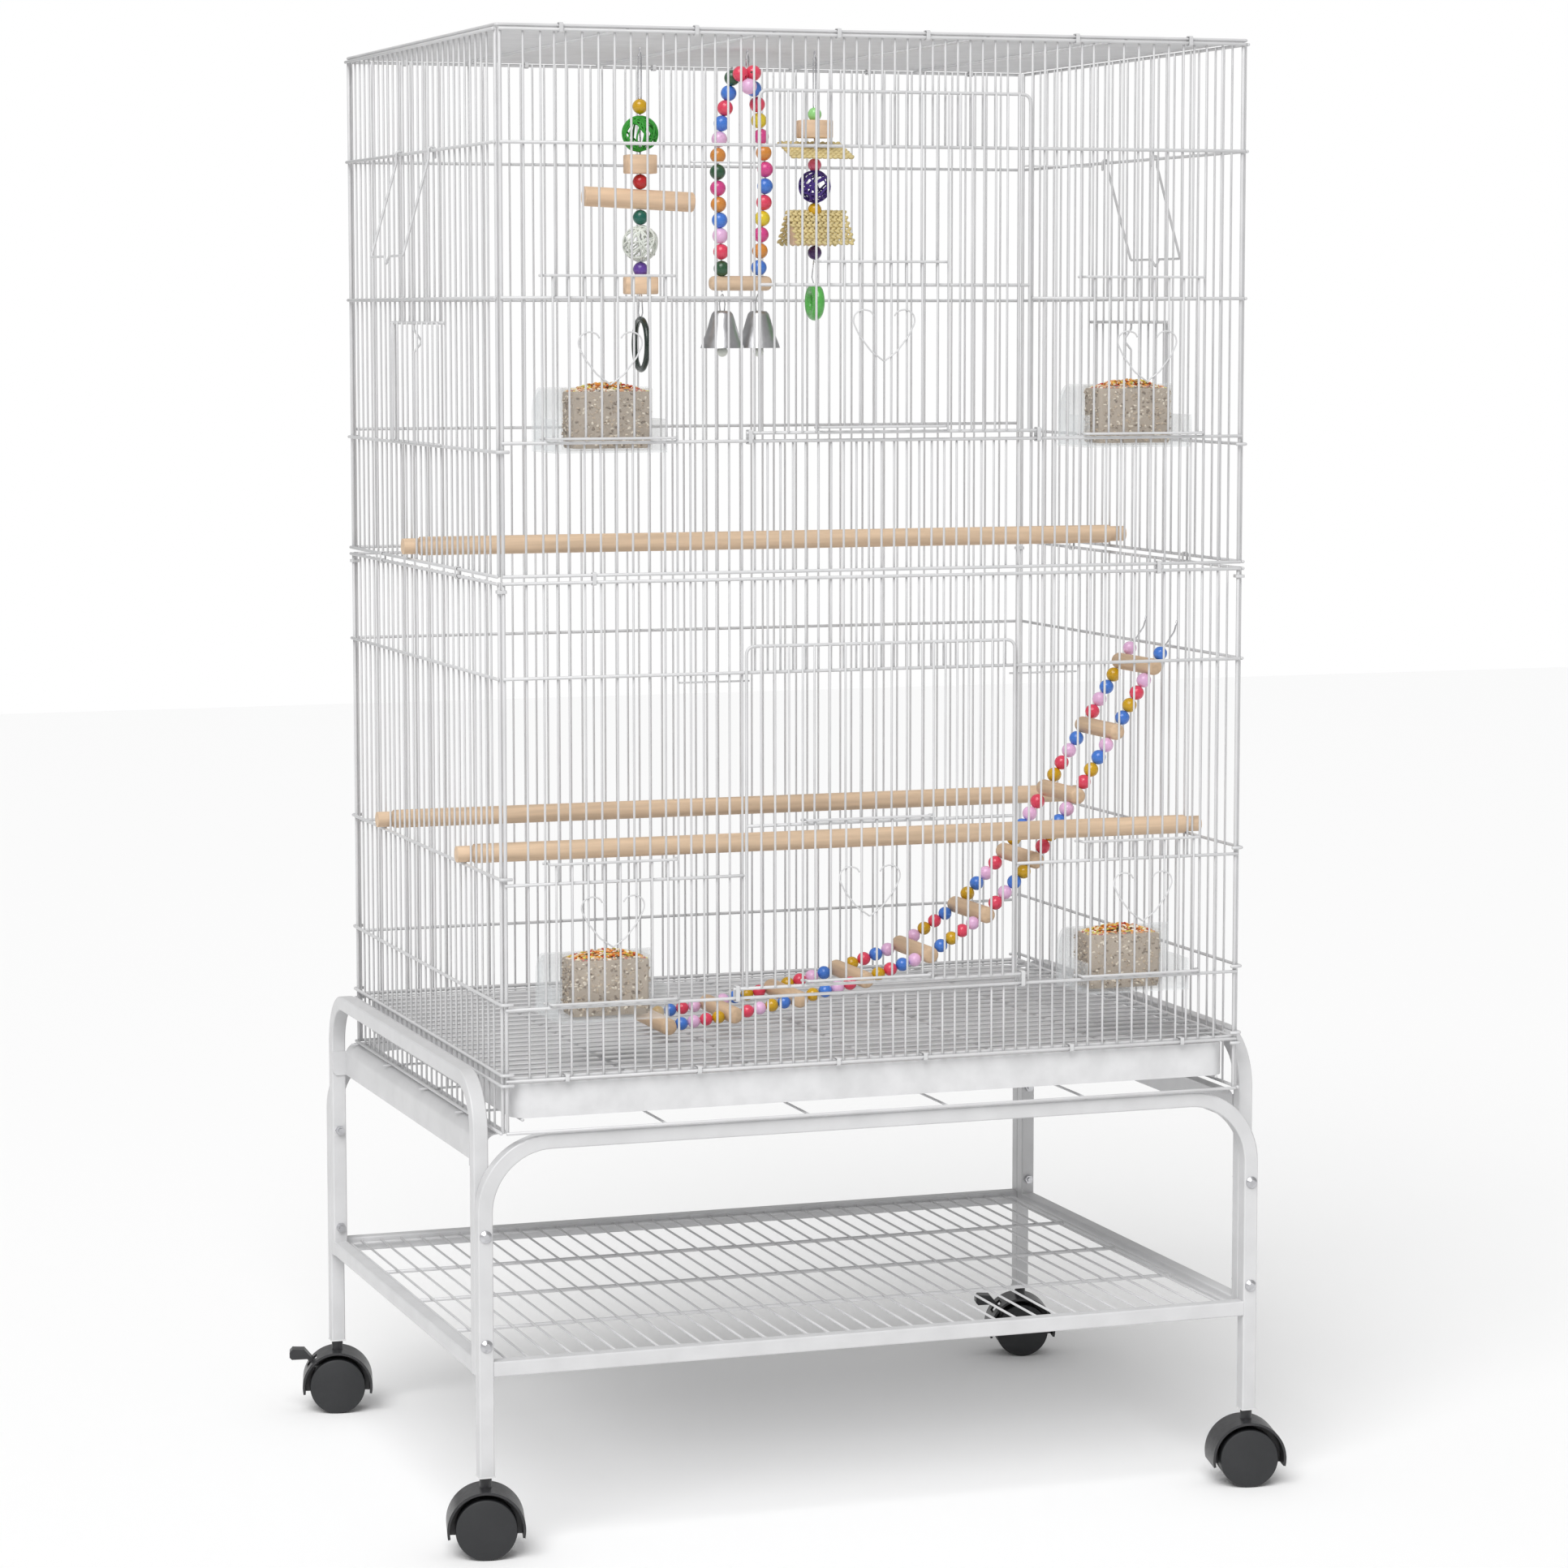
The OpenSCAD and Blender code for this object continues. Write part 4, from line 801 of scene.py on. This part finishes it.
TX = -153.0
s = Shape()
eye_wire(s, TX, 1411)
s.tube([(TX, MID_Y, 1414), (TX, MID_Y, 1214)], 1.8, 8)
hook = [(-1, 1214.6), (-2.6, 1196), (-0.5, 1187), (2, 1196), (1, 1214.6)]
s.tube([(TX + dx, MID_Y, z) for dx, z in hook], 1.3, 8, 3)
s.build("left_toy_wire", BRIGHT, "toy_left", "toy_left")
s = Shape()
for z, col in ((1403.8, "gold"), (1328.2, "crimson"), (1292.4, "teal"), (1239.8, "violet")):
    s.bead((TX, MID_Y, z), 15.4, mat=BEADS.index(col))
s.build("left_toy_beads", [paint[k] for k in BEADS], "toy_left")
s = Shape()
s.block((TX, MID_Y, 1345.9), (30, 20, 19), 1.1, Matrix.Rotation(0.05, 3, "Z"))
s.block((TX, MID_Y, 1223.6), (33, 21, 17.6), 1.1, Matrix.Rotation(-0.12, 3, "Z"))
dowel = Matrix.Rotation(math.radians(2.6), 3, "Y")
s.lathe([(1.2, -58), (9.2, -58), (10, -57.2), (10, 57.2), (9.2, 58), (1.2, 58)], (TX - 2, MID_Y, 1310.6),
        dowel @ Vector((1, 0, 0)), 40)
s.build("left_toy_wood", BLOCK, "toy_left")
reed_ball("left_toy_ball_green", (TX, MID_Y, 1376), 19, reed["grass"], "toy_left", 2.3, 15, 3)
reed_ball("left_toy_ball_white", (TX, MID_Y, 1266), 19, reed["ivory"], "toy_left", 2.1, 17, 5)
hoop((TX, MID_Y, 1164), 25.5, 6, 2.4).build("left_toy_ring", paint["darkring"], "toy_left")

TX = 35.0
s = Shape()
eye_wire(s, TX, 1404)
s.tube([(TX, MID_Y, 1408), (TX, MID_Y, 1250)], 1.8, 8)
hook = [(-1, 1250), (-3, 1232), (0, 1222), (3, 1232), (1, 1250)]
s.tube([(TX + dx, MID_Y, z) for dx, z in hook], 1.3, 8, 3)
s.build("right_toy_wire", BRIGHT, "toy_right", "toy_right")
s = Shape()
for z, col, d in ((1398.6, "lime", 14.2), (1347, "rose", 14), (1301.5, "gold", 14), (1257.5, "plum", 14.5)):
    s.bead((TX, MID_Y, z), d, mat=BEADS.index(col))
s.build("right_toy_beads", [paint[k] for k in BEADS], "toy_right")
s = Shape()
s.block((TX, MID_Y, 1383.6), (33, 21, 18.2), 1.1, Matrix.Rotation(0.04, 3, "Z"))
s.block((TX - 4, MID_Y, 1276), (40, 20, 22), 1.1)
s.build("right_toy_wood", BLOCK, "toy_right")
reed_ball("right_toy_ball_purple", (TX, MID_Y, 1325), 17.6, reed["purple"], "toy_right", 2.1, 16, 9)
s = Shape()
mat_sheet(s, (TX + 1.5, MID_Y, 1362.4), (68, 52), Matrix.Rotation(math.radians(20), 3, "X"), 7, 12)
for sg in (-1, 1):
    slope = Matrix.Rotation(math.radians(-sg * 50), 3, "X")
    mat_sheet(s, (TX + 1.5, MID_Y + sg * 15.5, 1283), (64, 46), slope, 6, 11)
s.build("right_toy_mats", STRAW, "toy_right", angle=80)
hoop((TX, MID_Y, 1207), 13.05, 12.4, 0.7).build("right_toy_ring", paint["apple"], "toy_right")

# ---------------------------------------------------------------- ladder

LADDER_Y, HALF = -127.0, 39.0
HEAD = (363, 845.4)
RUNGS = [(353.5, 832), (312, 766), (268.7, 701), (223.2, 636), (169, 582), (107, 543.5), (37, 521.5),
         (-34, 505), (-104, 492.5), (-174, 484.5)]
FAR = ["YBPR", "BPRY", "RPBY", "RPBY", "BRYP", "PBRY", "BPRY", "RYBP", "PRBY"]
NEAR = ["PRYB", "PBYR", "PBYR", "YBPR", "PRYB", "PBRY", "RPBY", "BYPR", "YRPB"]
TINTS = {"Y": "gold", "B": "blue", "P": "pink", "R": "red"}
s, beads, rungs = Shape(), Shape(), Shape()
for sg, rows in ((1, FAR), (-1, NEAR)):
    y = LADDER_Y + sg * HALF
    s.tube([(381.5, y, 879), (379, y, 868)] + [(p[0], y, p[1]) for p in RUNGS], 1.8, 8, 12)
    down = Vector((RUNGS[0][0] - HEAD[0], 0, RUNGS[0][1] - HEAD[1])).normalized()
    beads.bead((HEAD[0], y, HEAD[1]), 14.4, down, mat=BEADS.index("pink" if sg > 0 else "blue"))
    for i, row in enumerate(rows):
        a, b = Vector((RUNGS[i][0], y, RUNGS[i][1])), Vector((RUNGS[i + 1][0], y, RUNGS[i + 1][1]))
        run = (b - a).normalized()
        pitch = ((b - a).length - 18) / 4
        for k, tone in enumerate(row):
            at = a + run * (9 + pitch * (k + 0.5))
            beads.bead(at, min(pitch, 15.6) + 0.1, run, mat=BEADS.index(TINTS[tone]))
for x, z in RUNGS:
    end = [(8.5, 44.5), (8.0, 46.4), (6.6, 47.6), (1.5, 48)]
    rungs.lathe([(q, -h) for q, h in reversed(end)] + end, (x, LADDER_Y, z), (0, 1, 0), 32)
s.build("ladder_wires", BRIGHT, "root", "ladder_cords")
beads.build("ladder_bead_strands", [paint[k] for k in BEADS], "root")
rungs.build("ladder_rung_bars", BEECH_Y, "root", "ladder_rungs")

# ---------------------------------------------------------------- floor and light

floor = bpy.data.meshes.new("studio_floor")
floor.from_pydata([(-9, -9, 0), (9, -9, 0), (9, 9, 0), (-9, 9, 0)], [], [(0, 1, 2, 3)])
ground = bpy.data.objects.new("studio_floor", floor)
bpy.context.scene.collection.objects.link(ground)
f = Finish("floor_finish", (250, 250, 250), 0.9)
floor.materials.append(f.m)

world = bpy.data.worlds.new("studio")
bpy.context.scene.world = world
world.use_nodes = True
sky = world.node_tree.nodes["Background"]
sky.inputs["Color"].default_value = (1, 1, 1, 1)
seen = world.node_tree.nodes.new("ShaderNodeLightPath")
level = world.node_tree.nodes.new("ShaderNodeMapRange")
level.inputs["To Min"].default_value, level.inputs["To Max"].default_value = 0.46, 1.0
world.node_tree.links.new(seen.outputs["Is Camera Ray"], level.inputs["Value"])
world.node_tree.links.new(level.outputs["Result"], sky.inputs["Strength"])


def lamp(name, at, aim, size, power):
    light = bpy.data.lights.new(name, "AREA")
    light.shape, light.size, light.energy = "SQUARE", size, power
    ob = bpy.data.objects.new(name, light)
    ob.location = at
    ob.rotation_euler = (Vector(aim) - Vector(at)).to_track_quat("-Z", "Y").to_euler()
    bpy.context.scene.collection.objects.link(ob)


lamp("key", (-2.4, -3.2, 2.6), (0, 0, 0.9), 1.2, 9)
sun = bpy.data.lights.new("sun", "SUN")
sun.energy, sun.angle = 2.4, math.radians(40)
ob = bpy.data.objects.new("sun", sun)
ob.rotation_euler = Vector((-0.36, -0.56, 0.75)).to_track_quat("Z", "Y").to_euler()
bpy.context.scene.collection.objects.link(ob)
bpy.context.scene.view_settings.view_transform = "Standard"
